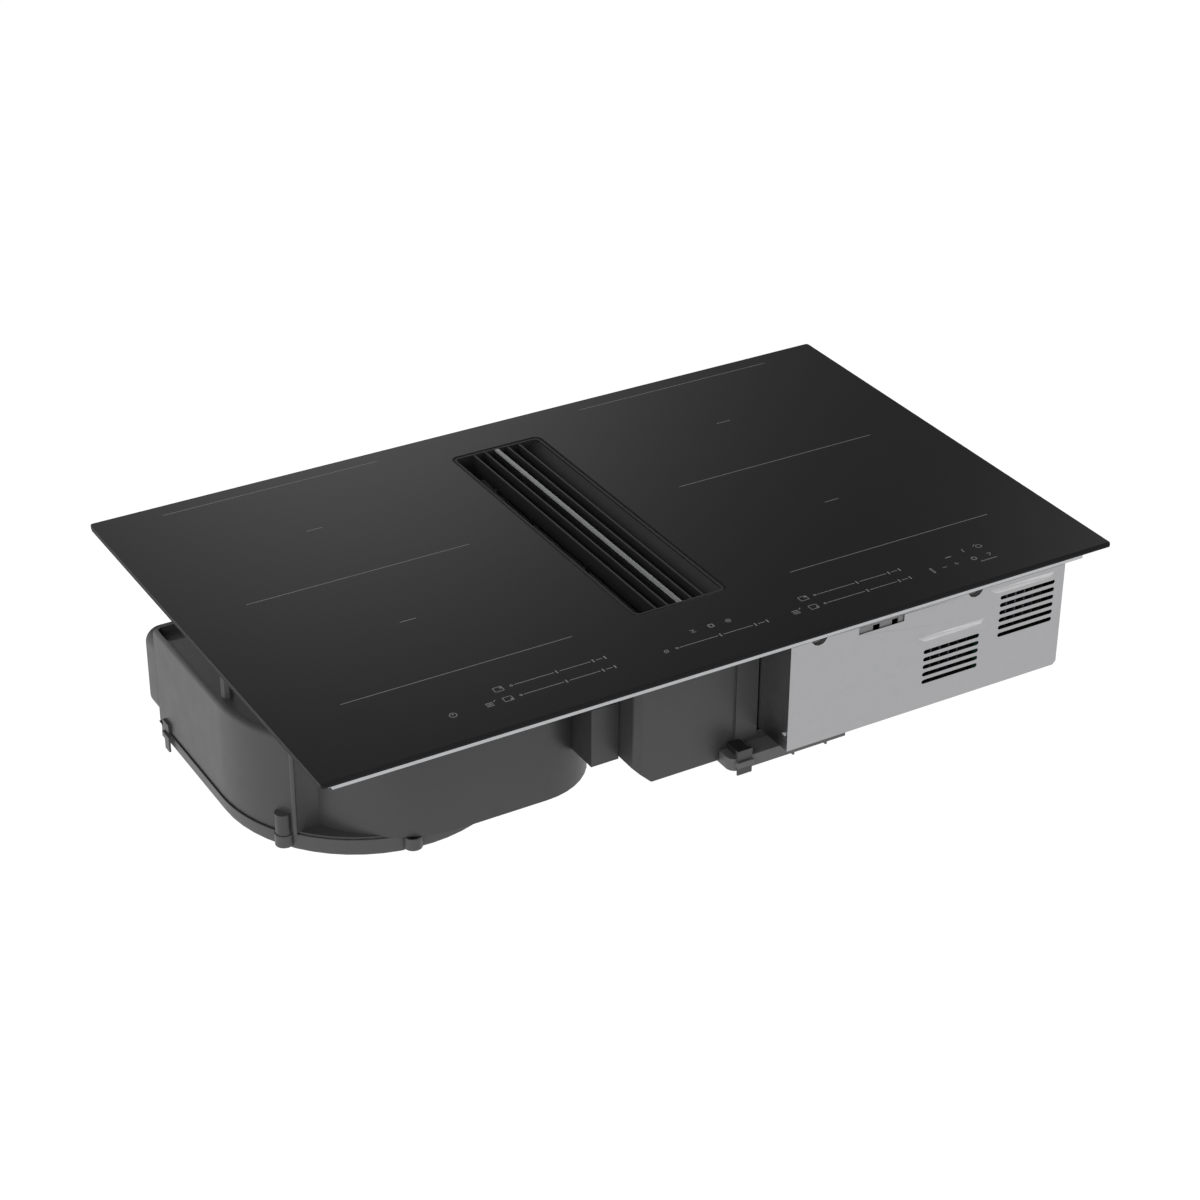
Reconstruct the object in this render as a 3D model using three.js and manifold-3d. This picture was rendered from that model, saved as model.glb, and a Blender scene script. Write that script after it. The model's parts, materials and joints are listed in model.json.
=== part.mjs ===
// Downdraft induction cooktop: a glass hob with the extractor built in under it.
// Millimetres. X runs along the front edge, Y to the back, Z up. The origin is the centre of the
// coil tray in the worktop's plane, so the glass and seal lie above Z = 0 and the rest hangs below.

import * as THREE from 'three';
import * as BufferGeometryUtils from 'three/addons/utils/BufferGeometryUtils.js';
import Module from 'manifold-3d';

const wasm = await Module();
wasm.setup();

// ---------------------------------------------------------------- driving dimensions

// clearances
const seatGap = 0.3; // between pieces that rest on each other
const slideGap = 0.5; // round pieces that lift or drop out
const runGap = 0.25; // round the turning shafts

// glass and seal
const glassWidth = 830;
const glassDepth = 513; // without the front reach
const frontReach = 3.8; // the glass runs this much further out in front than behind
const glassThick = 4;
const glassCorner = 3;
const glassBevel = 2.5;
const sealThick = 1.8;
const sealInset = 0.4;

// inlet in the glass, with its centre behind the coil tray's
const inletWidth = 102;
const inletDepth = 361;
const inletShift = 26.75;
const inletCorner = 8;

// inlet collar
const collarWall = 1.2;
const collarFlange = 6;
const collarLip = 2.5;
const collarLipLevel = -22;

// grille
const grilleWall = 2;
const grilleProud = 0.5; // its top lies this far below the glass
const slatWidth = 2;
const slatDepth = 17;
const slatPitch = 12.8;
const slatsEachSide = 2;
const throatHalf = 28; // where the sloping sides end
const throatLevel = -15;
const centreBarWidth = 5.4;
const centreBarDepth = 13;
const crossRibs = 4;

// grease filter
const filterRim = 2;
const filterSheet = 1.2;
const filterHeight = 54;
const ledgeThick = 1.8; // at each end of the frame, under the baffles
const baffleWidth = 20;
const baffleHeight = 14;
const baffleSheet = 1.2;

// coil tray
const sideOverhang = 18; // glass beyond the tray, left and right
const frontOverhang = 14.5; // glass beyond the tray behind, and in front but for its reach
const trayHeight = 16.3;
const traySheet = 1.2;
const trayHoleMargin = 8;
const wireHoleRadius = 12;

// coils
const coilOuter = 92;
const coilInner = 26;
const coilThick = 4.6;
const carrierThick = 1.6;
const ferriteThick = 3.6;
const ferriteWidth = 14;
const ferriteCount = 8;
const zoneInset = 164.8; // zone centres, from the coil tray's left and right walls
const zoneRearY = 140.2;
const zoneFrontY = -56.7;
const micaThick = 0.8;

// touch board
const touchMargin = 92; // coil tray's width left over beside it
const touchShift = 15;
const touchDepth = 40;
const touchThick = 1.6;
const touchWall = 1.6;

// intake duct
const ductLeft = -69.6;
const ductRight = 61.4;
const ductFront = -190;
const ductRear = 216;
const ductBottom = -152;
const ductWall = 2.5;
const ductCornerRun = 16.6; // its lower left corner is cut off
const ductCornerRise = 16;
const ductStepX = 37.5; // right of this the front wall stands proud
const ductStep = 2.5;
const drainRadius = 9;

// spill tray, which closes the duct from below and runs on under the electronics box
const spillRight = 151;
const spillRear = 206;
const spillTop = -142;
const spillHeight = 13;
const spillWall = 2;
const spillLipLeft = 21.8;
const spillLipCorner = 9;
const spillLipFront = -211;
const spillLeft = -50;
const lidDrop = 9.5; // the duct's lid over the tray's right part rises this far above it

// clip that holds the spill tray
const clipX = 35.6;
const clipWidth = 16;
const clipThick = 2;
const clipTop = -126;
const clipTabWidth = 10;
const clipTabDrop = 4; // below the spill tray

// fan housing: left shell, spiral front and bridge to the intake duct
// the radii and shifts from here down to the impeller hold at this housing width and grow with it
const housingSpan = 319.3;
const housingInset = 7.5; // its left wall lies inside the coil tray's
const housingRear = 178;
const housingTop = -76;
const housingFloor = -179.5;
const housingWall = 2.5;
const housingBevel = 6;
const floorThick = 2.2;
const shellRadius = 146;
const shellCentreY = 27;
const shellEndAngle = 219.3; // degrees, where the shell steps in to the spiral
const notchAngle = 208; // the shell's last stretch is a skin with a notch behind it, from here on
const notchTop = -80;
const spiralRadius = 133.4;
const spiralShiftX = 27.5; // from the shell's centre
const spiralShiftY = -24.8;
const spiralCorner = 74;
const spiralCornerShift = 59.4; // from the housing's right wall to the corner's centre
const bridgeLeft = -99.5;
const bridgeFront = -160;
const bridgeBottom = -138;
const bridgeRear = -62;
const deckPocketLength = 31;
const deckPocketWidth = 56;
const deckPocketDepth = 24;
const postRadius = 6;

// fan
const fanShiftX = 16.5; // from the shell's centre
const fanShiftY = -17;
const ringLevel = -130; // underside of the inlet ring's plate
const ringThick = 2.4;
const ringRear = 118; // its upstand parts the intake from the outlet
const eyeRadius = 58;
const scrollStart = 112; // the scroll wall's first radius
const scrollGrowth = 32;
const impellerOuter = 88;
const impellerInner = 66;
const impellerHeight = 38;
const bladeCount = 30;
const bladeThick = 1.6;
const hubRadius = 30;
const rotorWall = 2.4;
const shaftRadius = 4;
const statorRadius = 24;
const statorTeeth = 9;

// outlet spigot
const spigotWidth = 222;
const spigotHeight = 89;
const spigotLength = 22;
const spigotCorner = 15;
const spigotWall = 2.2;

// lower cover
const coverInset = 1; // inside the shell's radius
const coverHeight = 17.5;
const coverWall = 2.4;
const coverBevel = 3;
const lugRadius = 9;
const lugHoleRadius = 3;
const lugAngleLeft = 214;
const lugAngleFront = 262;

// electronics box
const boxGap = 0.8; // to the intake duct
const boxInset = 20.5; // its right wall lies inside the coil tray's
const boxRearGap = 7; // between its rear and the coil tray's
const boxBottom = -126.8;
const boxSheet = 1.2;
const boxCrop = 3.5;
const louvreWidth = 65;
const louvreHeight = 4.2;
const louvrePitch = 8.25;
const louvreLeftInset = 130.5; // centre line, from the box's right wall
const louvreLeftTop = -65.2;
const louvreLeftCount = 5;
const louvreRightInset = 43.5;
const louvreRightTop = -31.1;
const louvreRightCount = 6;
// stamped hood over each louvre group: its upper edge, and how far it runs to the left and right
const hoodReach = 2.4;
const hoodHeight = 13;
const hoodRidge = 4.6; // below its upper edge
const hoodOverLeft = [42.5, 39]; // left group: left and right of the centre line
const hoodOverRight = [47.3, 32.6];
const hoodEnd = 8.5; // slope at each end
const hoodRise = 18.5; // left group: its upper edge above the first slot
const hoodRiseRight = 12.6;
const notchRadius = 9;
const notchLeftInset = 30.8; // from the box's left wall
const notchRightInset = 106.5; // from its right wall
const slotInset = 74.8; // from its left wall
const slotLength = 51;
const slotTop = -15.8;
const slotHeight = 7.4;

// what stands in the electronics box
const boardThick = 1.6;
const boardStand = 8;
const sinkLength = 268;
const sinkFins = 7;
const finThick = 1.8;
const blowerRadius = 38;
const blowerWall = 1.6;
const blowerReach = 52.8; // from the boards' rear to the blowers' axes
const mainsGap = 12.8; // between the power boards and the mains board
const wheelOuter = 27;
const wheelInner = 18;
const vaneCount = 10;

// ---------------------------------------------------------------- derived places

const glassBottom = sealThick + seatGap;
const glassTop = glassBottom + glassThick;
const trayHalfX = glassWidth / 2 - sideOverhang;
const trayHalfY = glassDepth / 2 - frontOverhang;
const trayTop = glassBottom - seatGap;
const trayBottom = trayTop - trayHeight;
const trayFloor = trayBottom + traySheet;
const zoneX = trayHalfX - zoneInset;
const inletHalfX = inletWidth / 2;
const inletHalfY = inletDepth / 2;
const collarHalfX = inletHalfX - 0.4;
const collarHalfY = inletHalfY - 0.4;
const grilleHalfX = collarHalfX - collarWall - slideGap;
const grilleHalfY = collarHalfY - collarWall - slideGap;
const filterTop = collarLipLevel + seatGap + filterRim;
const grilleBottom = filterTop + seatGap;
const grilleTop = glassTop - grilleProud;
const ductTop = trayBottom - seatGap;
const spillBottom = spillTop - spillHeight;
const housingLeft = -(trayHalfX - housingInset);
const housingRight = ductLeft - 2 * seatGap;
const fanScale = (housingRight - housingLeft) / housingSpan;
const shellR = shellRadius * fanScale;
const spiralR = spiralRadius * fanScale;
const shellX = housingLeft + shellR;
const spiralX = shellX + spiralShiftX * fanScale;
const spiralY = shellCentreY + spiralShiftY * fanScale;
const fanX = shellX + fanShiftX * fanScale;
const fanY = shellCentreY + fanShiftY * fanScale;
const eyeR = eyeRadius * fanScale;
const bladeOuter = impellerOuter * fanScale;
const bladeInner = impellerInner * fanScale;
const coverR = shellR - coverInset;
const coverTop = housingFloor - floorThick - seatGap;
const coverBottom = coverTop - coverHeight;
const impellerTop = ringLevel - 4;
const impellerBottom = impellerTop - impellerHeight;
const boxLeft = ductRight + boxGap;
const boxRight = trayHalfX - boxInset;
const boxFront = -trayHalfY;
const boxTop = trayBottom - seatGap;
const boxRear = trayHalfY - boxRearGap;
const louvreLeftX = boxRight - louvreLeftInset;
const louvreRightX = boxRight - louvreRightInset;
const boxFloor = boxBottom + boxSheet;
const boardTop = boxFloor + seatGap + boardStand + boardThick;

// ---------------------------------------------------------------- helpers

const radians = THREE.MathUtils.degToRad;

function polar(x, y, radius, degrees) {
  return [x + radius * Math.cos(radians(degrees)), y + radius * Math.sin(radians(degrees))];
}

function arc(x, y, radius, from, to, steps) {
  const points = [];
  for (let n = 0; n <= steps; n += 1) {
    points.push(polar(x, y, radius, from + ((to - from) * n) / steps));
  }
  return points;
}

// A closed geometry becomes a solid with its faces pointing out.
function toSolid(geometry) {
  const bare = geometry.clone();
  bare.deleteAttribute('normal');
  bare.deleteAttribute('uv');
  const merged = BufferGeometryUtils.mergeVertices(bare, 1e-4);
  const position = merged.attributes.position;
  const corner = [new THREE.Vector3(), new THREE.Vector3(), new THREE.Vector3()];
  const triangles = [];
  let volume = 0;
  for (let i = 0; i < merged.index.count; i += 3) {
    const [a, b, c] = [0, 1, 2].map((k) => merged.index.getX(i + k));
    if (a === b || b === c || c === a) continue;
    triangles.push([a, b, c]);
    [a, b, c].forEach((n, k) => corner[k].fromBufferAttribute(position, n));
    volume += corner[0].dot(corner[1].clone().cross(corner[2]));
  }
  if (volume < 0) triangles.forEach((t) => t.reverse());
  return new wasm.Manifold(new wasm.Mesh({
    numProp: 3,
    vertProperties: new Float32Array(position.array),
    triVerts: new Uint32Array(triangles.flat()),
  }));
}

function toGeometry(solid) {
  const mesh = solid.getMesh();
  const geometry = new THREE.BufferGeometry();
  geometry.setAttribute('position', new THREE.BufferAttribute(mesh.vertProperties, 3));
  geometry.setIndex(new THREE.BufferAttribute(mesh.triVerts, 1));
  geometry.computeVertexNormals();
  return geometry;
}

function join(...solids) {
  return solids.reduce((whole, solid) => whole.add(solid));
}

function box(x0, x1, y0, y1, z0, z1) {
  const geometry = new THREE.BoxGeometry(x1 - x0, y1 - y0, z1 - z0);
  return toSolid(geometry.translate((x0 + x1) / 2, (y0 + y1) / 2, (z0 + z1) / 2));
}

function polygon(points) {
  return new THREE.Shape(points.map(([x, y]) => new THREE.Vector2(x, y)));
}

function roundedRect(x0, x1, y0, y1, r) {
  const shape = new THREE.Shape();
  shape.moveTo(x0 + r, y0);
  shape.lineTo(x1 - r, y0);
  shape.absarc(x1 - r, y0 + r, r, -Math.PI / 2, 0);
  shape.lineTo(x1, y1 - r);
  shape.absarc(x1 - r, y1 - r, r, 0, Math.PI / 2);
  shape.lineTo(x0 + r, y1);
  shape.absarc(x0 + r, y1 - r, r, Math.PI / 2, Math.PI);
  shape.lineTo(x0, y0 + r);
  shape.absarc(x0 + r, y0 + r, r, Math.PI, 1.5 * Math.PI);
  return shape;
}

// A plan outline raised from z0 to z1.
function raise(shape, z0, z1, curveSegments = 3) {
  const options = { depth: z1 - z0, bevelEnabled: false, curveSegments };
  return toSolid(new THREE.ExtrudeGeometry(shape, options).translate(0, 0, z0));
}

// Outlines as [points, z], all counter-clockwise with as many corners, skinned from each to the next.
function loft(levels) {
  const count = levels[0][0].length;
  const triangulate = ([points]) => (
    THREE.ShapeUtils.triangulateShape(points.map(([x, y]) => new THREE.Vector2(x, y)), [])
  );
  const last = levels.length - 1;
  const triangles = triangulate(levels[0]).map(([a, b, c]) => [c, b, a]);
  triangulate(levels[last]).forEach((t) => triangles.push(t.map((n) => n + last * count)));
  for (let level = 0; level < last; level += 1) {
    for (let n = 0; n < count; n += 1) {
      const a = level * count + n;
      const b = level * count + ((n + 1) % count);
      triangles.push([a, b, b + count], [a, b + count, a + count]);
    }
  }
  const positions = levels.flatMap(([points, z]) => points.flatMap(([x, y]) => [x, y, z]));
  const geometry = new THREE.BufferGeometry();
  geometry.setAttribute('position', new THREE.Float32BufferAttribute(positions, 3));
  geometry.setIndex(triangles.flat());
  return toSolid(geometry);
}

// An outline, given as a function from inset to points, with its upper or lower edge rounded.
function raiseRounded(outline, z0, z1, radius, upper, steps) {
  const bend = [];
  for (let n = 0; n <= steps; n += 1) {
    const angle = ((Math.PI / 2) * n) / steps;
    const inset = radius * (1 - Math.cos(angle));
    const rise = radius * Math.sin(angle);
    bend.push([outline(inset), upper ? z1 - radius + rise : z0 + radius - rise]);
  }
  return loft(upper ? [[outline(0), z0], ...bend] : [...bend.reverse(), [outline(0), z1]]);
}

// An outline in X and Z drawn out along Y.
function alongY(shape, y0, y1, curveSegments = 5) {
  const options = { depth: y1 - y0, bevelEnabled: false, curveSegments };
  const geometry = new THREE.ExtrudeGeometry(shape, options);
  return toSolid(geometry.rotateX(Math.PI / 2).translate(0, y1, 0));
}

// An outline in Y and Z drawn out along X.
function alongX(shape, x0, x1) {
  const geometry = new THREE.ExtrudeGeometry(shape, { depth: x1 - x0, bevelEnabled: false });
  return toSolid(geometry.rotateY(Math.PI / 2).rotateX(Math.PI / 2).translate(x0, 0, 0));
}

// A profile of [radius, z] turned about the vertical through x, y.
function turned(profile, segments = 32, x = 0, y = 0) {
  const points = profile.map(([r, z]) => new THREE.Vector2(r, z));
  const geometry = new THREE.LatheGeometry([...points, points[0].clone()], segments);
  return toSolid(geometry.rotateX(Math.PI / 2).translate(x, y, 0));
}

function disc(x, y, radius, z0, z1, segments = 24) {
  return turned([[0, z0], [radius, z0], [radius, z1], [0, z1]], segments, x, y);
}

function ring(x, y, inner, outer, z0, z1, segments = 24) {
  return turned([[inner, z0], [outer, z0], [outer, z1], [inner, z1]], segments, x, y);
}

const finishes = {
  glass: { color: 0x101113, roughness: 0.08, metalness: 0 },
  seal: { color: 0x0b0b0b, roughness: 0.8, metalness: 0 },
  black: { color: 0x1a1b1d, roughness: 0.45, metalness: 0.1 },
  bright: { color: 0xc9cbce, roughness: 0.25, metalness: 1 },
  steel: { color: 0xa4a4a6, roughness: 0.4, metalness: 0.9 },
  plastic: { color: 0x47484a, roughness: 0.55, metalness: 0 },
  copper: { color: 0x8a4b2a, roughness: 0.4, metalness: 0.8 },
  ferrite: { color: 0x8d9094, roughness: 0.6, metalness: 0.4 },
  mica: { color: 0xd8d4c6, roughness: 0.7, metalness: 0 },
  board: { color: 0x1f5a38, roughness: 0.5, metalness: 0 },
  mesh: { color: 0xb4b7ba, roughness: 0.35, metalness: 1 },
};

const cooktop = new THREE.Group();

function part(name, finish, shape, place = [0, 0, 0]) {
  const geometry = shape.isBufferGeometry ? shape : toGeometry(shape);
  const mesh = new THREE.Mesh(geometry, new THREE.MeshStandardMaterial(finishes[finish]));
  mesh.name = name;
  mesh.position.set(...place);
  cooktop.add(mesh);
}

function inletOutline(halfX, halfY, corner) {
  return roundedRect(-halfX, halfX, inletShift - halfY, inletShift + halfY, corner);
}

// ---------------------------------------------------------------- glass and seal

function glassPlate() {
  const halfX = glassWidth / 2;
  const halfY = glassDepth / 2;
  const front = -halfY - frontReach;
  const outline = roundedRect(-halfX, halfX, front, halfY, glassCorner);
  outline.holes.push(inletOutline(inletHalfX, inletHalfY, inletCorner));
  const bevel = polygon([
    [front - 1, glassTop + 1],
    [front - 1, glassTop - glassBevel - 1],
    [front + glassBevel + 1, glassTop + 1],
  ]);
  return raise(outline, glassBottom, glassTop).subtract(alongX(bevel, -halfX - 1, halfX + 1));
}

function worktopSeal() {
  const outerX = glassWidth / 2 - sealInset;
  const outerY = glassDepth / 2 - sealInset;
  const innerX = trayHalfX + 1.5;
  const innerY = trayHalfY + 1.5;
  const outline = roundedRect(-outerX, outerX, -outerY - frontReach, outerY, glassCorner);
  outline.holes.push(roundedRect(-innerX, innerX, -innerY, innerY, 1));
  return raise(outline, 0, sealThick, 2);
}

// ---------------------------------------------------------------- inlet

function inletCollar() {
  const corner = inletCorner - 0.4;
  const tube = raise(
    inletOutline(collarHalfX, collarHalfY, corner),
    collarLipLevel - collarWall,
    grilleTop,
  );
  const flange = raise(
    inletOutline(collarHalfX + collarFlange, collarHalfY + collarFlange, corner + collarFlange),
    seatGap,
    glassBottom - seatGap,
  );
  const innerX = collarHalfX - collarWall;
  const innerY = collarHalfY - collarWall;
  const bore = raise(inletOutline(innerX, innerY, corner - collarWall), collarLipLevel, 50);
  const mouth = raise(
    inletOutline(innerX - collarLip, innerY - collarLip, corner - collarWall),
    -100,
    50,
  );
  return tube.add(flange).subtract(bore).subtract(mouth);
}

function inletGrille() {
  const corner = inletCorner - 1.5;
  const y0 = inletShift - grilleHalfY;
  const y1 = inletShift + grilleHalfY;
  const outer = raise(inletOutline(grilleHalfX, grilleHalfY, corner), grilleBottom, grilleTop);
  const opening = inletOutline(grilleHalfX - grilleWall, grilleHalfY - grilleWall, corner - 2);
  const within = inletOutline(grilleHalfX - 0.6, grilleHalfY - 0.6, corner - 0.6);
  const room = raise(within, grilleBottom - 1, grilleTop + 1);
  let grille = outer.subtract(raise(opening, grilleBottom - 1, grilleTop + 1));
  for (const side of [-1, 1]) {
    const slope = polygon([
      [side * (grilleHalfX - 1), grilleTop - 1],
      [side * throatHalf, throatLevel],
      [side * throatHalf, throatLevel - 2.2],
      [side * (grilleHalfX - 1), grilleTop - 3.6],
    ]);
    grille = grille.add(alongY(slope, y0 + 1.3, y1 - 1.3).intersect(room));
    for (let n = 1; n <= slatsEachSide; n += 1) {
      const x = side * n * slatPitch;
      const high = grilleTop - 0.3;
      grille = grille.add(box(x - slatWidth / 2, x + slatWidth / 2, y0 + 1, y1 - 1, high - slatDepth, high));
    }
  }
  const ribTop = grilleTop - centreBarDepth - seatGap;
  for (let n = 0; n < crossRibs; n += 1) {
    const span = 2 * grilleHalfY - 30;
    const y = inletShift - span / 2 + (span * n) / (crossRibs - 1);
    grille = grille.add(box(-throatHalf - 1, throatHalf + 1, y - 1.2, y + 1.2, throatLevel - 2, ribTop));
  }
  return grille;
}

function grilleCentreBar() {
  const half = grilleHalfY - grilleWall - seatGap;
  const rounded = roundedRect(
    -centreBarWidth / 2,
    centreBarWidth / 2,
    grilleTop - centreBarDepth,
    grilleTop,
    1,
  );
  return alongY(rounded, inletShift - half, inletShift + half, 2);
}

function filterFrame() {
  const corner = inletCorner - 2;
  const lipX = collarHalfX - collarWall - collarLip - slideGap;
  const lipY = collarHalfY - collarWall - collarLip - slideGap;
  const rimLow = filterTop - filterRim;
  const rim = raise(inletOutline(grilleHalfX, grilleHalfY, corner), rimLow, filterTop);
  const body = raise(inletOutline(lipX, lipY, inletCorner - 1), filterTop - filterHeight, rimLow + 0.5);
  const hollow = raise(
    inletOutline(lipX - filterSheet, lipY - filterSheet, inletCorner - 1 - filterSheet),
    filterTop - filterHeight - 1,
    filterTop + 1,
  );
  // a narrow ledge at each end carries the baffles
  const low = filterTop - filterHeight;
  const within = inletOutline(lipX - 0.5, lipY - 0.5, inletCorner - 1.5);
  const ledgeRoom = raise(within, low - 1, low + ledgeThick + 1);
  const ledges = [-1, 1].map((end) => {
    const y = inletShift + end * (lipY - 2.8);
    const ledge = box(-lipX, lipX, y - 2.8, y + 2.8, low + 0.4, low + ledgeThick);
    return ledge.intersect(ledgeRoom);
  });
  return join(rim.add(body).subtract(hollow), ...ledges);
}

// Two staggered rows of channels, the upper ones open downward, joined by their end plates.
function filterBaffles() {
  const halfX = collarHalfX - collarWall - collarLip - slideGap - filterSheet - seatGap;
  const halfY = collarHalfY - collarWall - collarLip - slideGap - filterSheet - seatGap;
  const low = filterTop - filterHeight + ledgeThick + seatGap;
  const high = low + 2 * baffleHeight + 4;
  const y0 = inletShift - halfY;
  const y1 = inletShift + halfY;
  const channel = (x, z, up) => {
    const h = up ? baffleHeight : -baffleHeight;
    const s = up ? baffleSheet : -baffleSheet;
    const w = baffleWidth / 2;
    const t = baffleSheet;
    return alongY(polygon([
      [x - w, z], [x + w, z], [x + w, z + h], [x + w - t, z + h],
      [x + w - t, z + s], [x - w + t, z + s], [x - w + t, z + h], [x - w, z + h],
    ]), y0 + 1, y1 - 1);
  };
  const pitch = baffleWidth + 9;
  const count = Math.max(1, Math.floor((2 * halfX - baffleWidth) / pitch));
  const plates = [y0, y1 - 1.6].map((y) => box(-halfX + 2, halfX - 2, y, y + 1.6, low + 0.4, high - 0.4));
  const lower = [];
  const upper = [];
  for (let n = 0; n <= count; n += 1) {
    const x = (n - count / 2) * pitch;
    lower.push(channel(x, low, true));
    if (n < count) upper.push(channel(x + pitch / 2, high, false));
  }
  const room = raise(inletOutline(halfX, halfY, inletCorner - 1 - filterSheet), low - 1, high + 1);
  return join(...plates, ...lower, ...upper).intersect(room);
}

// ---------------------------------------------------------------- coil tray and what lies in it

function coilTray() {
  const pan = box(-trayHalfX, trayHalfX, -trayHalfY, trayHalfY, trayBottom, trayTop);
  const s = traySheet;
  const inside = box(-trayHalfX + s, trayHalfX - s, -trayHalfY + s, trayHalfY - s, trayFloor, 20);
  const margin = trayHoleMargin;
  const hole = raise(
    inletOutline(inletHalfX + margin, inletHalfY + margin, inletCorner + margin),
    trayBottom - 5,
    trayTop + 5,
    4,
  );
  const tab = box(-trayHalfX - 3, -trayHalfX + 0.6, -trayHalfY + 2, -trayHalfY + 16, trayFloor + 0.3, -11);
  let tray = pan.subtract(inside).subtract(hole).add(tab);
  for (const side of [-1, 1]) {
    for (const y of [zoneFrontY, zoneRearY]) {
      tray = tray.subtract(disc(side * zoneX, y, wireHoleRadius, trayBottom - 5, trayTop + 5, 12));
    }
  }
  return tray;
}

const carrierLow = trayFloor + seatGap;
const coilLow = carrierLow + carrierThick + ferriteThick + seatGap;
const micaLow = coilLow + coilThick + seatGap;

function ferriteCarrier() {
  const low = carrierLow;
  let carrier = ring(0, 0, coilInner - 8, coilOuter, low, low + carrierThick, 16);
  for (let n = 0; n < ferriteCount; n += 1) {
    const bar = new THREE.BoxGeometry(coilOuter - coilInner - 10, ferriteWidth, ferriteThick + 0.4);
    bar.translate((coilOuter + coilInner) / 2, 0, low + carrierThick + ferriteThick / 2 - 0.2);
    bar.rotateZ((n * 2 * Math.PI) / ferriteCount);
    carrier = carrier.add(toSolid(bar));
  }
  return toGeometry(carrier);
}

function coil() {
  return toGeometry(ring(0, 0, coilInner, coilOuter, coilLow, coilLow + coilThick, 24));
}

function micaSheet(side) {
  const middle = side * zoneX;
  const y0 = zoneFrontY - coilOuter - 3;
  const y1 = zoneRearY + coilOuter - 0.5;
  const outline = roundedRect(middle - coilOuter - 3, middle + coilOuter + 3, y0, y1, 8);
  return raise(outline, micaLow, micaLow + micaThick, 2);
}

const touchWidth = 2 * (trayHalfX - touchMargin);
const touchX0 = -touchWidth / 2 + touchShift;
const touchY0 = -trayHalfY + traySheet + 6;

function boardHolder() {
  const x0 = touchX0 - 4;
  const x1 = touchX0 + touchWidth + 4;
  const y0 = touchY0 - 4;
  const y1 = touchY0 + touchDepth + 4;
  const high = glassBottom - 1 - touchThick - seatGap;
  const outer = box(x0, x1, y0, y1, trayFloor + seatGap, high);
  const w = touchWall + 4;
  return outer.subtract(box(x0 + w, x1 - w, y0 + w, y1 - w, -50, 50));
}

function touchBoard() {
  const low = glassBottom - 1 - touchThick;
  return box(touchX0, touchX0 + touchWidth, touchY0, touchY0 + touchDepth, low, low + touchThick);
}

// ---------------------------------------------------------------- intake duct and spill tray

// The duct's cross-section, with its lower left corner cut off.
function ductProfile(inset, low, high) {
  const x0 = ductLeft + inset;
  const x1 = ductRight - inset;
  const slope = ductCornerRise / ductCornerRun;
  const cut = ductBottom + ductCornerRise + inset * Math.hypot(1, slope);
  return polygon([
    [x1, low],
    [x1, high],
    [x0, high],
    [x0, cut - slope * inset],
    [ductLeft + (cut - low) / slope, low],
  ]);
}

function intakeDuct() {
  const w = ductWall;
  const floorLow = spillTop + seatGap + 2;
  const lidTop = spillTop + lidDrop;
  const lidRight = spillRight + w + 1;
  const lidRear = spillRear + w + 1;
  const outer = alongY(ductProfile(0, ductBottom, ductTop), ductFront, ductRear);
  const step = box(ductStepX, ductRight, ductFront - ductStep, ductFront + 1, spillTop + 6, ductTop - 8);
  const lid = box(ductRight - 1, lidRight, ductFront, lidRear, spillTop + seatGap, lidTop);
  const inner = alongY(ductProfile(w, floorLow + w, ductTop - w), ductFront + w, ductRear - w);
  const mouth = raise(
    inletOutline(collarHalfX + seatGap, collarHalfY + seatGap, inletCorner),
    ductTop - 10,
    ductTop + 5,
  );
  const hollowLeft = ductRight - w - 5;
  const lidHollow = box(hollowLeft, lidRight - w, ductFront + w, lidRear - w, ductBottom - 1, lidTop - w);
  const ductWallRight = box(ductRight - w, ductRight, ductFront, ductRear, floorLow, ductTop - 1);
  const trayRoom = box(
    spillLeft - 1,
    ductRight + 1,
    ductFront + w,
    ductRear - w,
    ductBottom - 1,
    floorLow,
  );
  const gapTop = spillTop + seatGap;
  const frontGap = box(spillLipLeft - 1, lidRight + 1, ductFront - 5, ductFront + w + 1, -200, gapTop);
  const port = box(
    ductLeft - 5,
    ductLeft + w + 5,
    bridgeFront + 6,
    bridgeRear - 6,
    bridgeBottom + 6,
    housingTop - 6,
  );
  const drain = disc((spillLeft + ductRight) / 2, inletShift, drainRadius, -170, floorLow + w + 2, 16);
  const floor = box(ductLeft + w - 1, ductRight - 1, ductFront + 1, ductRear - 1, floorLow, floorLow + w);
  const shell = join(outer, step, lid).subtract(inner).subtract(mouth).subtract(lidHollow);
  const walls = join(shell, ductWallRight, floor.intersect(outer));
  return walls.subtract(trayRoom).subtract(frontGap).subtract(port).subtract(drain);
}

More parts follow.
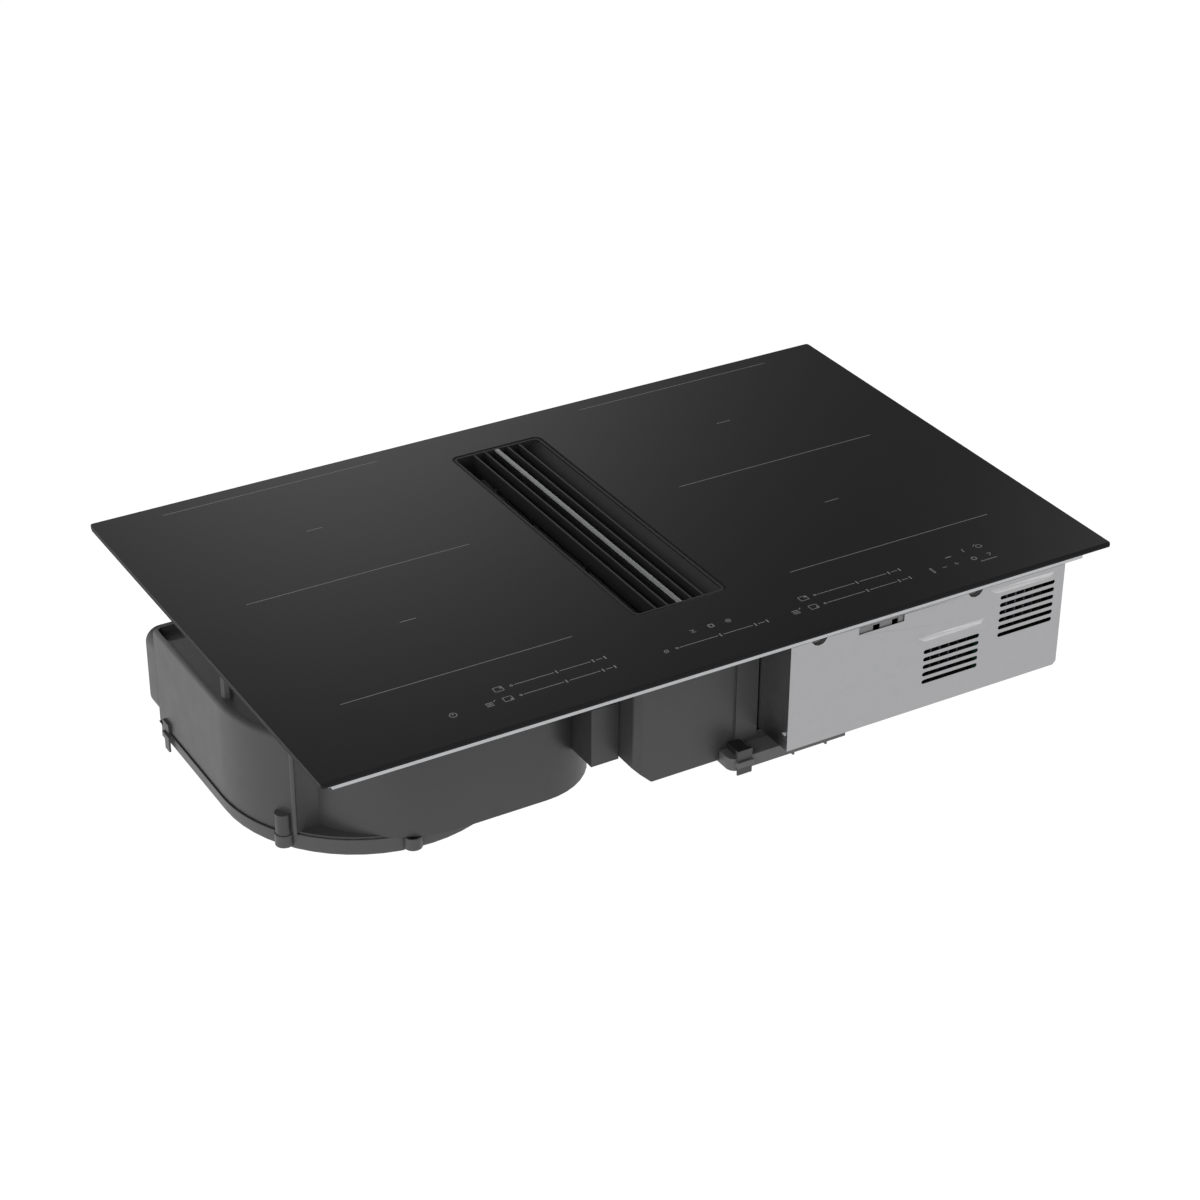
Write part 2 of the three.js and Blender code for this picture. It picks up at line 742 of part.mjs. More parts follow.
function spillTray() {
  const w = spillWall;
  const front = ductFront + ductWall + 0.8;
  const basin = box(spillLeft, spillRight, front, spillRear, spillBottom, spillTop);
  const lipOutline = (inset, rear) => polygon([
    ...arc(
      spillLipLeft + spillLipCorner,
      spillLipFront + spillLipCorner,
      spillLipCorner - inset,
      180,
      270,
      5,
    ),
    [spillRight - inset, spillLipFront + inset],
    [spillRight - inset, rear],
    [spillLipLeft + inset, rear],
  ]);
  const lip = raise(lipOutline(0, front + 1), spillBottom, spillTop);
  const basinHollow = box(spillLeft + w, spillRight - w, front + w, spillRear - w, spillBottom + w, 0);
  const lipHollow = raise(lipOutline(w, front - 1), spillBottom - 1, spillTop - w);
  // loop round the clip's tongue
  const loopX = clipTabWidth / 2 + 4;
  const loopFront = spillLipFront - clipThick - 2.6;
  const loopLow = spillBottom + 5;
  const loop = box(clipX - loopX, clipX + loopX, loopFront, spillLipFront + 1.6, loopLow, loopLow + 6);
  const loopHole = box(
    clipX - clipTabWidth / 2 - slideGap,
    clipX + clipTabWidth / 2 + slideGap,
    loopFront + 1.8,
    spillLipFront,
    loopLow - 1,
    loopLow + 7,
  );
  const ribs = [92, 129].map((x) => (
    box(x - 1, x + 1, spillLipFront, spillLipFront + 12, spillBottom - 2.5, spillBottom + 1)
  ));
  const solid = join(basin, lip).subtract(basinHollow).subtract(lipHollow);
  return join(solid, loop.subtract(loopHole), ...ribs);
}

function trayClip() {
  const tongueFront = spillLipFront - slideGap / 2 - clipThick;
  const tongueBack = tongueFront + clipThick;
  const loopTop = spillBottom + 11;
  const wall = ductFront - ductStep - seatGap;
  const x0 = clipX - clipWidth / 2;
  const x1 = clipX + clipWidth / 2;
  const arm = box(x0, x1, tongueFront, ductFront - seatGap, clipTop - 5, clipTop);
  const stepRoom = box(ductStepX - seatGap, x1 + 1, wall, ductFront, clipTop - 30, clipTop + 1);
  const tongue = box(x0, x1, tongueFront, tongueBack, loopTop + 0.6, clipTop - 1);
  const tab = box(
    clipX - clipTabWidth / 2,
    clipX + clipTabWidth / 2,
    tongueFront,
    tongueBack,
    spillBottom - clipTabDrop,
    loopTop + 1,
  );
  return join(arm.subtract(stepRoom), tongue, tab);
}

// ---------------------------------------------------------------- fan housing

// Left shell: straight wall, then round to the step or, inside, to the notch.
function shellOutline(inset, lastAngle = shellEndAngle) {
  const r = shellR - inset;
  const end = lastAngle - THREE.MathUtils.radToDeg(Math.asin(inset / r));
  const left = housingLeft + inset;
  const rear = housingRear - inset;
  return [
    [shellX, rear],
    [left, rear],
    ...arc(shellX, shellCentreY, r, 180, end, 7),
    polar(shellX, shellCentreY, shellR / 2, end),
    [shellX, shellCentreY],
  ];
}

// Spiral front: round, then straight along the front, round the right corner and back.
function spiralOutline(inset) {
  const r = spiralR - inset;
  const right = housingRight - inset;
  const rear = housingRear - inset;
  const corner = spiralCorner * fanScale - inset;
  const cornerX = housingRight - spiralCornerShift * fanScale;
  const cornerEnd = -THREE.MathUtils.radToDeg(Math.acos((right - cornerX) / corner));
  return [
    ...arc(spiralX, spiralY, r, 185, 270, 14),
    ...arc(cornerX, spiralY - r + corner, corner, -90, cornerEnd, 6),
    [right, rear],
    [shellX - 60, rear],
    [shellX - 60, spiralY + 20],
  ];
}

function housingBody(inset, low, high, lastAngle) {
  const rounded = (outline) => (
    raiseRounded((d) => outline(inset + d, lastAngle), low, high, housingBevel, true, 3)
  );
  return rounded(shellOutline).add(rounded(spiralOutline));
}

function fanHousing() {
  const w = housingWall;
  const low = housingFloor - floorThick;
  const ledge = disc(shellX, shellCentreY, shellR - 2.5, low, housingFloor, 48);
  const bridge = box(bridgeLeft, housingRight, bridgeFront, bridgeRear, bridgeBottom, housingTop);
  const outer = join(housingBody(0, low + 0.3, housingTop), ledge, bridge);
  const inner = housingBody(w, housingFloor, housingTop - w, notchAngle);
  const beyond = polygon([
    [shellX, shellCentreY],
    ...arc(shellX, shellCentreY, shellR - w, notchAngle, shellEndAngle + 8, 6),
  ]);
  const notch = raise(beyond, housingFloor + seatGap, notchTop).subtract(
    raise(polygon(spiralOutline(-seatGap)), low, 0),
  );
  const bridgeHollow = box(
    bridgeLeft + w,
    housingRight + 1,
    bridgeFront + w,
    bridgeRear - w,
    bridgeBottom + w,
    housingTop - w,
  ).subtract(raise(polygon(spiralOutline(0)), low, ringLevel));
  const pocketX0 = housingLeft + w + 0.4;
  const pocketX1 = pocketX0 + deckPocketWidth;
  const pocketY1 = housingRear - w;
  const pocketY0 = pocketY1 - deckPocketLength;
  const pocketLow = housingTop - deckPocketDepth;
  const pocket = raise(roundedRect(pocketX0, pocketX1, pocketY0, pocketY1, 7), pocketLow, 0, 3);
  const dent = box(
    housingLeft + 1,
    pocketX1 + w,
    pocketY0 - w,
    housingRear - 1,
    pocketLow - w,
    housingTop - 1,
  );
  const spigotX = housingLeft + spigotWidth / 2;
  const spigotZ = housingFloor + spigotHeight / 2 + 1.5;
  const outletHole = box(
    spigotX - spigotWidth / 2 + 8,
    spigotX + spigotWidth / 2 - 8,
    housingRear - w - 1,
    housingRear + 1,
    spigotZ - spigotHeight / 2 + 6,
    spigotZ + spigotHeight / 2 - 6,
  ).subtract(box(-500, pocketX1 + w + 4, 0, 300, pocketLow - w - 4, 0));
  const holeRoom = [shellOutline(w + 2, notchAngle), spiralOutline(w + 2)].map((outline) => (
    raise(polygon(outline), low - 2, housingFloor + 2)
  ));
  const fanHole = disc(shellX, shellCentreY, shellR - 20, low - 1, housingFloor + 1, 32).intersect(
    join(...holeRoom),
  );
  const posts = [
    [housingLeft + 12, 28],
    [shellX - 10, 120],
    [housingRight - 36, -60],
    [housingRight - 36, 130],
  ].map(([x, y]) => disc(x, y, postRadius, housingTop - 1, ductTop, 8));
  const [bossX, bossY] = polar(shellX, shellCentreY, shellR, lugAngleLeft);
  const boss = disc(bossX, bossY, lugRadius - 1, low, low + 22, 14).subtract(inner);
  const strap = box(housingLeft - 3, housingLeft + 1, 150, 164, low + 1.5, low + 10);
  const hollowed = outer.subtract(inner.subtract(dent)).subtract(bridgeHollow);
  const shell = join(hollowed.subtract(notch).subtract(pocket), boss).subtract(outletHole);
  return join(shell.subtract(fanHole), ...posts, strap);
}

// Plate that parts the intake above from the fan below, with a bell mouth over the impeller.
function inletRing() {
  const gap = housingWall + seatGap;
  const plate = housingBody(gap, ringLevel - 30, ringLevel + 30, notchAngle).intersect(
    box(-500, 500, -400, ringRear, ringLevel, ringLevel + ringThick),
  );
  const upstand = box(
    housingLeft + gap,
    housingRight - gap,
    ringRear - 2.5,
    ringRear - 0.4,
    ringLevel + 0.4,
    housingTop - housingWall - 6,
  );
  const bell = turned([
    [0, impellerTop + slideGap],
    [eyeR + 2, impellerTop + slideGap],
    [eyeR + 8, ringLevel + 1],
    [eyeR + 8, ringLevel + 4],
    [0, ringLevel + 4],
  ], 28, fanX, fanY);
  const eye = turned([
    [0, ringLevel - 10],
    [eyeR, ringLevel - 10],
    [eyeR, ringLevel - 1],
    [eyeR + 6, ringLevel + 5],
    [0, ringLevel + 5],
  ], 28, fanX, fanY);
  return plate.add(upstand).add(bell).subtract(eye);
}

// Spiral wall behind and right of the impeller.
function scrollWall() {
  const start = -84;
  const sweep = 168;
  const steps = 20;
  const thick = 2;
  const at = (n, offset) => {
    const turn = n / steps;
    const radius = (scrollStart + scrollGrowth * turn) * fanScale;
    return polar(fanX, fanY, radius + offset, start + sweep * turn);
  };
  const outside = [];
  const inside = [];
  for (let n = 0; n <= steps; n += 1) {
    outside.push(at(n, thick));
    inside.unshift(at(n, 0));
  }
  return raise(polygon([...outside, ...inside]), housingFloor + seatGap, ringLevel - seatGap);
}

function outletSpigot() {
  const x = housingLeft + spigotWidth / 2;
  const z = housingFloor + spigotHeight / 2 + 1.5;
  const halfX = spigotWidth / 2;
  const halfZ = spigotHeight / 2;
  const w = spigotWall;
  const outline = roundedRect(x - halfX, x + halfX, z - halfZ, z + halfZ, spigotCorner);
  outline.holes.push(
    roundedRect(x - halfX + w, x + halfX - w, z - halfZ + w, z + halfZ - w, spigotCorner - w),
  );
  return alongY(outline, housingRear + seatGap, housingRear + spigotLength, 4);
}

function coverOutline(inset) {
  const r = coverR - inset;
  const rear = housingRear - inset;
  return [
    [shellX + r, rear],
    [shellX - r, rear],
    ...arc(shellX, shellCentreY, r, 180, 360, 28),
  ];
}

function lowerCover() {
  const w = coverWall;
  const rounded = (inset, low, high) => (
    raiseRounded((d) => coverOutline(inset + d), low, high, coverBevel, false, 2)
  );
  const outer = rounded(0, coverBottom, coverTop);
  const inner = rounded(w, coverBottom + w, coverTop + 9);
  const lugs = [lugAngleLeft, lugAngleFront].map((angle) => {
    const [x, y] = polar(shellX, shellCentreY, shellR, angle);
    return disc(x, y, lugRadius, coverBottom + 0.6, coverTop, 14);
  });
  const holes = [lugAngleLeft, lugAngleFront].map((angle) => {
    const [x, y] = polar(shellX, shellCentreY, shellR + 2, angle);
    return disc(x, y, lugHoleRadius, coverBottom - 1, coverTop - 4, 8);
  });
  const [pocketX, pocketY] = polar(shellX, shellCentreY, shellR + 1, lugAngleFront);
  const pocket = disc(pocketX, pocketY, lugRadius - 2.4, coverTop - 6, coverTop + 1, 12);
  const loop = box(housingLeft - 4, shellX - coverR + 1, 149, 165, coverTop - 9, coverTop - 3);
  const tab = box(housingLeft - 3, housingLeft - 1, 152, 162, coverBottom - 4, coverTop - 8);
  const ribs = [-1, 1].map((side) => {
    const mid = shellCentreY + side * 0.48 * coverR;
    const reach = 0.83 * coverR;
    const rib = box(shellX - reach, shellX + reach, mid - 1, mid + 1, coverBottom + 1, coverTop - 4);
    return rib.intersect(outer);
  });
  const shell = outer.subtract(inner);
  const solid = join(shell, ...lugs, loop, tab, ...ribs);
  return solid.subtract(join(...holes, pocket));
}

// ---------------------------------------------------------------- fan and motor

function impeller() {
  const rimThick = 2;
  const backPlate = turned([
    [hubRadius - 3, impellerBottom + 10],
    [hubRadius - 3, impellerTop - 8],
    [hubRadius, impellerTop - 8],
    [hubRadius + 1, impellerBottom + 12],
    [hubRadius + 18, impellerBottom + 3],
    [bladeOuter, impellerBottom + rimThick],
    [bladeOuter, impellerBottom],
    [hubRadius + 14, impellerBottom],
    [hubRadius, impellerBottom + 4],
  ], 36);
  const shroud = ring(0, 0, bladeInner - 2, bladeOuter, impellerTop - rimThick, impellerTop, 36);
  // one forward-curved blade: an arc of constant thickness
  const steps = 2;
  const outside = [];
  const inside = [];
  for (let n = 0; n <= steps; n += 1) {
    const s = n / steps;
    const radius = bladeInner + (bladeOuter - 1.2 - bladeInner) * s;
    const angle = 16 * s * s;
    const half = THREE.MathUtils.radToDeg(bladeThick / 2 / radius);
    outside.push(polar(0, 0, radius, angle + half));
    inside.unshift(polar(0, 0, radius, angle - half));
  }
  const blade = polygon([...outside, ...inside]);
  const low = impellerBottom + 0.8;
  const depth = impellerTop - 0.8 - low;
  let wheel = backPlate.add(shroud);
  for (let n = 0; n < bladeCount; n += 1) {
    const geometry = new THREE.ExtrudeGeometry(blade, { depth, bevelEnabled: false });
    geometry.translate(0, 0, low).rotateZ((n * 2 * Math.PI) / bladeCount);
    wheel = wheel.add(toSolid(geometry));
  }
  return toGeometry(wheel);
}

const rotorTop = impellerTop - 10;
const rotorLow = impellerBottom + 4;
const baseTop = coverBottom + 16;

// Cup pressed into the impeller's hub, with the shaft's seat in its top.
function motorRotor() {
  const outer = hubRadius - 3 - seatGap;
  const inner = outer - rotorWall;
  const bore = shaftRadius + seatGap;
  return toGeometry(turned([
    [bore, rotorTop - 8],
    [bore, rotorTop],
    [outer, rotorTop],
    [outer, rotorLow],
    [inner, rotorLow],
    [inner, rotorTop - 3],
    [bore + 4, rotorTop - 3],
    [bore + 4, rotorTop - 8],
  ], 24));
}

function motorShaft() {
  return toGeometry(disc(0, 0, shaftRadius, coverBottom + coverWall + 2.5, rotorTop + 2, 16));
}

const statorLow = baseTop + 2 + seatGap;
const statorHigh = rotorTop - 10;

// Toothed core with its windings, on the base's sleeve.
function motorStator() {
  const sleeve = shaftRadius + runGap + 5;
  let core = ring(fanX, fanY, sleeve + seatGap, sleeve + 5, statorLow, statorHigh, 12);
  for (let n = 0; n < statorTeeth; n += 1) {
    const angle = (n * 360) / statorTeeth;
    const reach = statorRadius - sleeve - 3;
    const tooth = new THREE.BoxGeometry(reach, 4, statorHigh - statorLow - 4);
    const head = new THREE.BoxGeometry(2, 10, statorHigh - statorLow - 2);
    tooth.translate(sleeve + 3 + reach / 2 - 1, 0, (statorLow + statorHigh) / 2);
    head.translate(statorRadius - 1.6, 0, (statorLow + statorHigh) / 2);
    for (const piece of [tooth, head]) {
      piece.rotateZ(radians(angle)).translate(fanX, fanY, 0);
      core = core.add(toSolid(piece));
    }
  }
  return core;
}

// Three-legged base on the lower cover, with the sleeve that holds the bearing.
function motorBase() {
  const sleeve = shaftRadius + runGap + 5;
  const bearingSeat = shaftRadius + runGap + 3.2;
  let base = turned([
    [bearingSeat, baseTop - 3],
    [40, baseTop - 3],
    [40, baseTop],
    [sleeve + 6, baseTop],
    [sleeve + 6, statorLow - seatGap],
    [sleeve, statorLow - seatGap],
    [sleeve, statorHigh - 4],
    [bearingSeat, statorHigh - 4],
  ], 18, fanX, fanY);
  for (let n = 0; n < 3; n += 1) {
    const [x, y] = polar(fanX, fanY, 33, 90 + n * 120);
    base = base.add(disc(x, y, 5.5, coverBottom + coverWall + seatGap, baseTop - 1, 8));
  }
  return base;
}

function motorBearing() {
  const inner = shaftRadius + runGap;
  return ring(fanX, fanY, inner, inner + 3.2 - runGap, baseTop - 2, statorHigh - 6, 16);
}

// ---------------------------------------------------------------- electronics box

function louvre(x, z) {
  const r = louvreHeight / 2;
  const half = louvreWidth / 2 - r;
  const slot = polygon([...arc(x + half, z, r, -90, 90, 4), ...arc(x - half, z, r, 90, 270, 4)]);
  return alongY(slot, boxFront - 10, boxFront + 10);
}

// Raised along a ridge near its upper edge and running out flush above the first slot.
function hood(x, top, [left, right]) {
  const corners = (inset, low, high) => [
    [x - left + inset, low], [x + right - inset, low], [x + right - inset, high], [x - left + inset, high],
  ];
  const foot = corners(0, top - hoodHeight, top);
  const ridge = corners(hoodEnd, top - hoodRidge - 1, top - hoodRidge);
  return loft([[foot, -boxFront - 0.6], [ridge, hoodReach - boxFront]]).rotate([90, 0, 0]);
}

function electronicsBox() {
  const outline = (inset) => polygon([
    [boxLeft + inset, boxTop + inset],
    [boxLeft + inset, boxBottom + inset],
    [boxRight - boxCrop, boxBottom + inset],
    [boxRight - inset, boxBottom + boxCrop],
    [boxRight - inset, boxTop + inset],
  ]);
  const outer = alongY(outline(0), boxFront, boxRear);
  const inner = alongY(outline(boxSheet), boxFront + boxSheet, boxRear - boxSheet);
  let shell = outer.subtract(inner);
  const groups = [
    [louvreLeftX, louvreLeftTop, louvreLeftCount, hoodRise, hoodOverLeft],
    [louvreRightX, louvreRightTop, louvreRightCount, hoodRiseRight, hoodOverRight],
  ];
  for (const [x, top, count, rise, over] of groups) {
    shell = shell.add(hood(x, top + rise, over));
    for (let n = 0; n < count; n += 1) shell = shell.subtract(louvre(x, top - n * louvrePitch));
    // air inlet under the blower
    for (let n = -1; n <= 1; n += 1) {
      const half = 17 - 3 * Math.abs(n);
      const mid = x + n * 12;
      const inlet = box(mid - 3.5, mid + 3.5, blowerY - half, blowerY + half, boxBottom - 5, boxFloor + 5);
      shell = shell.subtract(inlet);
    }
  }
  for (const x of [boxLeft + notchLeftInset, boxRight - notchRightInset]) {
    const notch = new THREE.CylinderGeometry(notchRadius, notchRadius, 20, 12);
    const dip = boxTop + notchRadius - 6.2;
    shell = shell.subtract(toSolid(notch.translate(x, boxFront, dip)));
  }
  const slotX = boxLeft + slotInset;
  const slot = box(slotX, slotX + slotLength, boxFront - 5, boxFront + 5, slotTop - slotHeight, slotTop);
  const glandHole = new THREE.CylinderGeometry(9, 9, 20, 12).translate(glandX, boxRear, glandZ);
  return shell.subtract(slot).subtract(toSolid(glandHole));
}

const glandX = boxLeft + 48; // cable gland in the rear wall
const glandZ = boxBottom + 30;

function cableGland() {
  const body = turned([
    [4.5, -12], [8.7, -12], [8.7, 0.5], [13, 0.5], [13, 6], [10, 11], [4.5, 11],
  ], 12);
  return body.rotate([-90, 0, 0]).translate([glandX, boxRear, glandZ]);
}

function onStands(x0, x1, y0, y1, low) {
  const inset = 6;
  return [[x0, y0], [x1, y0], [x0, y1], [x1, y1]].map(([x, y]) => {
    const px = x + (x === x0 ? inset : -inset);
    const py = y + (y === y0 ? inset : -inset);
    return disc(px, py, 2.6, boxFloor + seatGap, low + 0.4, 6);
  });
}

// A board on its stands, with tall components as [x, y, half width, half depth, height].
function board(x0, x1, y0, y1, top, components) {
  const plate = box(x0, x1, y0, y1, top - boardThick, top);
  const blocks = components.map(([x, y, hx, hy, high]) => (
    box(x - hx, x + hx, y - hy, y + hy, top - 0.4, top + high)
  ));
  return join(plate, ...onStands(x0, x1, y0, y1, top - boardThick), ...blocks);
}

const sinkY0 = boxFront + boxSheet + 16;
const boardRear = sinkY0 + sinkLength + 14;
const boardX0 = boxLeft + 12;
const boardY0 = boxFront + 20;
const blowerY = boardRear + blowerReach;
const mainsX1 = louvreLeftX - blowerRadius - 19.8;
const mainsY0 = boardRear + mainsGap;
const mainsY1 = boxRear - 20;
const sinkWidth = louvreWidth;
const leftSinkLow = boardTop + seatGap;
const rightBoardTop = louvreRightTop - (louvreRightCount + 0.6) * louvrePitch;

function heatSink(low, high) {
  const points = [[-sinkWidth / 2, low], [sinkWidth / 2, low]];
  const pitch = (sinkWidth - finThick) / (sinkFins - 1);
  for (let n = sinkFins - 1; n >= 0; n -= 1) {
    const x = -sinkWidth / 2 + n * pitch;
    points.push([x + finThick, high], [x, high]);
    if (n > 0) points.push([x, low + 4], [x - pitch + finThick, low + 4]);
  }
  return toGeometry(alongY(polygon(points), 0, sinkLength));
}

// Snail casing open below and towards the heat sink.
function blowerCase(low, high) {
  const w = blowerWall;
  const nose = blowerY - boardRear - seatGap;
  const shape = (radius, end) => polygon([[-radius, -end], [radius, -end], ...arc(0, 0, radius, 0, 180, 14)]);
  const outer = raise(shape(blowerRadius, nose), low, high);
  const inner = raise(shape(blowerRadius - w, nose + 1), low + w, high - w);
  const inletHole = disc(0, 0, wheelInner, low - 1, low + w + 1, 16);
  const motor = disc(0, 0, 9, high - w - 6, high - 0.5, 10);
  const bore = disc(0, 0, 2 + runGap, high - w - 7, high - w - 1, 8);
  return toGeometry(outer.subtract(inner).subtract(inletHole).add(motor).subtract(bore));
}

function blowerWheel(low, high) {
  const w = blowerWall;
  const top = high - w - 6 - 1;
  const bottom = low + w + 2;
  const hub = turned([
    [0, bottom + 6], [12, bottom + 6], [12, top - 2], [wheelOuter, top - 2], [wheelOuter, top], [0, top],
  ], 16);
  const pin = disc(0, 0, 2, top - 1, top + 5, 8);
  const foot = ring(0, 0, wheelInner + 2, wheelOuter, bottom, bottom + 1.6, 16);
  let wheel = join(hub, pin, foot);
  for (let n = 0; n < vaneCount; n += 1) {
    const vane = new THREE.BoxGeometry(wheelOuter - wheelInner - 3.5, 1.2, top - bottom - 1.6);
    vane.translate((wheelOuter + wheelInner) / 2 + 0.6, 0, (top + bottom) / 2);
    vane.rotateZ((n * 2 * Math.PI) / vaneCount);
    wheel = wheel.add(toSolid(vane));
  }
  return toGeometry(wheel);
}

// ---------------------------------------------------------------- the assembly

part('glass_plate', 'glass', glassPlate());
part('worktop_seal', 'seal', worktopSeal());
part('inlet_collar', 'black', inletCollar());
part('inlet_grille', 'black', inletGrille());
part('grille_centre_bar', 'bright', grilleCentreBar());
part('filter_frame', 'mesh', filterFrame());
part('filter_baffles', 'mesh', filterBaffles());

part('coil_tray', 'bright', coilTray());
const oneCarrier = ferriteCarrier();
const oneCoil = coil();
for (const [side, x] of [['left', -zoneX], ['right', zoneX]]) {
  for (const [end, y] of [['front', zoneFrontY], ['rear', zoneRearY]]) {
    part(`ferrite_carrier_${end}_${side}`, 'ferrite', oneCarrier, [x, y, 0]);
    part(`coil_${end}_${side}`, 'copper', oneCoil, [x, y, 0]);
  }
  part(`mica_sheet_${side}`, 'mica', micaSheet(Math.sign(x)));
}
part('board_holder', 'plastic', boardHolder());
part('touch_board', 'board', touchBoard());

part('intake_duct', 'plastic', intakeDuct());
part('spill_tray', 'plastic', spillTray());
part('tray_clip', 'plastic', trayClip());

part('fan_housing', 'plastic', fanHousing());
part('inlet_ring', 'plastic', inletRing());
part('scroll_wall', 'plastic', scrollWall());
part('outlet_spigot', 'plastic', outletSpigot());
part('lower_cover', 'plastic', lowerCover());
part('impeller', 'black', impeller(), [fanX, fanY, 0]);
part('motor_rotor', 'steel', motorRotor(), [fanX, fanY, 0]);
part('motor_shaft', 'steel', motorShaft(), [fanX, fanY, 0]);
part('motor_stator', 'copper', motorStator());
part('motor_base', 'plastic', motorBase());
part('motor_bearing', 'steel', motorBearing());

part('electronics_box', 'steel', electronicsBox());
part('cable_gland', 'black', cableGland());
const mainsX = boardX0 + 0.68 * (mainsX1 - boardX0);
part('mains_board', 'board', board(boardX0, mainsX1, mainsY0, mainsY1, boardTop, [
  [mainsX, mainsY0 + 30, 16, 16, 30],
  [mainsX, mainsY0 + 74, 12, 14, 24],
]));
const blockRear = mainsY1 - 23;
const blockHigh = boardTop + 22;
part(
  'terminal_block',
  'black',
  box(glandX - 26, glandX + 26, blockRear - 24, blockRear, boardTop + seatGap, blockHigh),
);
const freeWidth = louvreLeftX - sinkWidth / 2 - boardX0;
part('power_board_left', 'board', board(boardX0, louvreLeftX + 40, boardY0, boardRear, boardTop, [
  [boardX0 + 0.27 * freeWidth, boardY0 + 72, 20, 20, 34],
  [boardX0 + 0.27 * freeWidth, boardY0 + 162, 15, 25, 28],
  [boardX0 + 0.63 * freeWidth, boardY0 + 122, 12, 12, 40],
]));
const rightX0 = louvreLeftX + 44;
part('power_board_right', 'board', board(rightX0, boxRight - 6, boardY0, boardRear, rightBoardTop, []));
const leftSinkHigh = louvreLeftTop + louvrePitch / 2;
const rightSinkLow = rightBoardTop + seatGap;
const rightSinkHigh = louvreRightTop + louvrePitch / 2;
part('heat_sink_left', 'steel', heatSink(leftSinkLow, leftSinkHigh), [louvreLeftX, sinkY0, 0]);
part('heat_sink_right', 'steel', heatSink(rightSinkLow, rightSinkHigh), [louvreRightX, sinkY0, 0]);
const leftBlower = [boxFloor + seatGap, leftSinkHigh];
const rightBlower = [boxFloor + seatGap, rightSinkHigh];
part('blower_case_left', 'black', blowerCase(...leftBlower), [louvreLeftX, blowerY, 0]);
part('blower_wheel_left', 'black', blowerWheel(...leftBlower), [louvreLeftX, blowerY, 0]);
part('blower_case_right', 'black', blowerCase(...rightBlower), [louvreRightX, blowerY, 0]);
part('blower_wheel_right', 'black', blowerWheel(...rightBlower), [louvreRightX, blowerY, 0]);

export default cooktop;
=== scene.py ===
import json
import math

import bpy
from mathutils import Matrix, Vector

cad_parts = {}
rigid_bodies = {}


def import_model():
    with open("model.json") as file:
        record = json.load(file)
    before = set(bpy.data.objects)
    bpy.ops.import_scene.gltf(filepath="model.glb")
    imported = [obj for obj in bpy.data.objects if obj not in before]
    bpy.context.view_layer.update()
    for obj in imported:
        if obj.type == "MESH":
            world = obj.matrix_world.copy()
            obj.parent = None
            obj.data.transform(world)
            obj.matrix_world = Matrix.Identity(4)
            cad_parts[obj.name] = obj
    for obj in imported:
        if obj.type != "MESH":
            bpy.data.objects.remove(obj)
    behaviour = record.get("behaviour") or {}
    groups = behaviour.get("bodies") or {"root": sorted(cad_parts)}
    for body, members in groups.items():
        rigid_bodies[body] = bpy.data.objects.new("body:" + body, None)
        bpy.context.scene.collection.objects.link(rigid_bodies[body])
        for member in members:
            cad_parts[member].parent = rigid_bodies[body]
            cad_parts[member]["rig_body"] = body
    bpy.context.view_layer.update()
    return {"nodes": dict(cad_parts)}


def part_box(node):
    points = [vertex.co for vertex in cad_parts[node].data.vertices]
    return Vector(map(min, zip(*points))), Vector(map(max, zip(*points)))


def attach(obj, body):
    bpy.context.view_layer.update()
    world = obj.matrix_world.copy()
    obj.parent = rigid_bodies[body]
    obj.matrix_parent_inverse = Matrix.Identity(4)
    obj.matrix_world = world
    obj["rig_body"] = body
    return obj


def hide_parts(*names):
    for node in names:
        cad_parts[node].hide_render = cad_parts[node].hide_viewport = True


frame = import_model()
nodes = frame["nodes"]
MM = 0.001
WELD_DISTANCE = 0.004 * MM
FLAT_ANGLE = math.radians(0.4)


# ------------------------------------------------------------------ modelling helpers

def put_down():
    """Object mode with nothing selected."""
    active = bpy.context.view_layer.objects.active
    if active is not None and active.mode != "OBJECT":
        bpy.ops.object.mode_set(mode="OBJECT")
    bpy.ops.object.select_all(action="DESELECT")


def pick_up(piece):
    put_down()
    piece.select_set(True)
    bpy.context.view_layer.objects.active = piece
    return piece


def fresh(name):
    """The primitive just added, under its own name, with its place in its mesh."""
    piece = bpy.context.view_layer.objects.active
    piece.name = name
    piece.data.name = name
    bpy.ops.object.transform_apply(location=True, rotation=True, scale=True)
    return piece


def select_faces(piece, test):
    """In edit mode, only the faces whose centre and normal pass the test are selected."""
    bpy.ops.object.mode_set(mode="OBJECT")
    for vertex in piece.data.vertices:
        vertex.select = False
    for edge in piece.data.edges:
        edge.select = False
    for face in piece.data.polygons:
        face.select = bool(test(face.center, face.normal))
    bpy.ops.object.mode_set(mode="EDIT")
    bpy.ops.mesh.select_mode(type="FACE")


def use_modifier(piece, kind, **settings):
    """A modifier of this kind added and applied."""
    modifier = piece.modifiers.new(kind.title(), kind)
    for key, value in settings.items():
        setattr(modifier, key, value)
    pick_up(piece)
    bpy.ops.object.modifier_apply(modifier=modifier.name)


def round_edges(piece, width, segments=2, from_angle=34, smooth=50):
    """Edges sharper than from_angle rounded, then shaded smooth with the flats kept flat."""
    use_modifier(
        piece, "BEVEL", width=width, segments=segments, limit_method="ANGLE",
        angle_limit=math.radians(from_angle), use_clamp_overlap=True, miter_outer="MITER_ARC",
    )
    pick_up(piece)
    bpy.ops.object.shade_smooth_by_angle(angle=math.radians(smooth))
    use_modifier(piece, "WEIGHTED_NORMAL", weight=60, keep_sharp=True)


def finish_piece(piece, material, body="hob", stands_for=()):
    """The piece given its material, its body and the nodes that it replaces."""
    piece.data.materials.clear()
    piece.data.materials.append(material)
    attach(piece, body)
    if stands_for:
        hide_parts(*stands_for)
    put_down()
    return piece


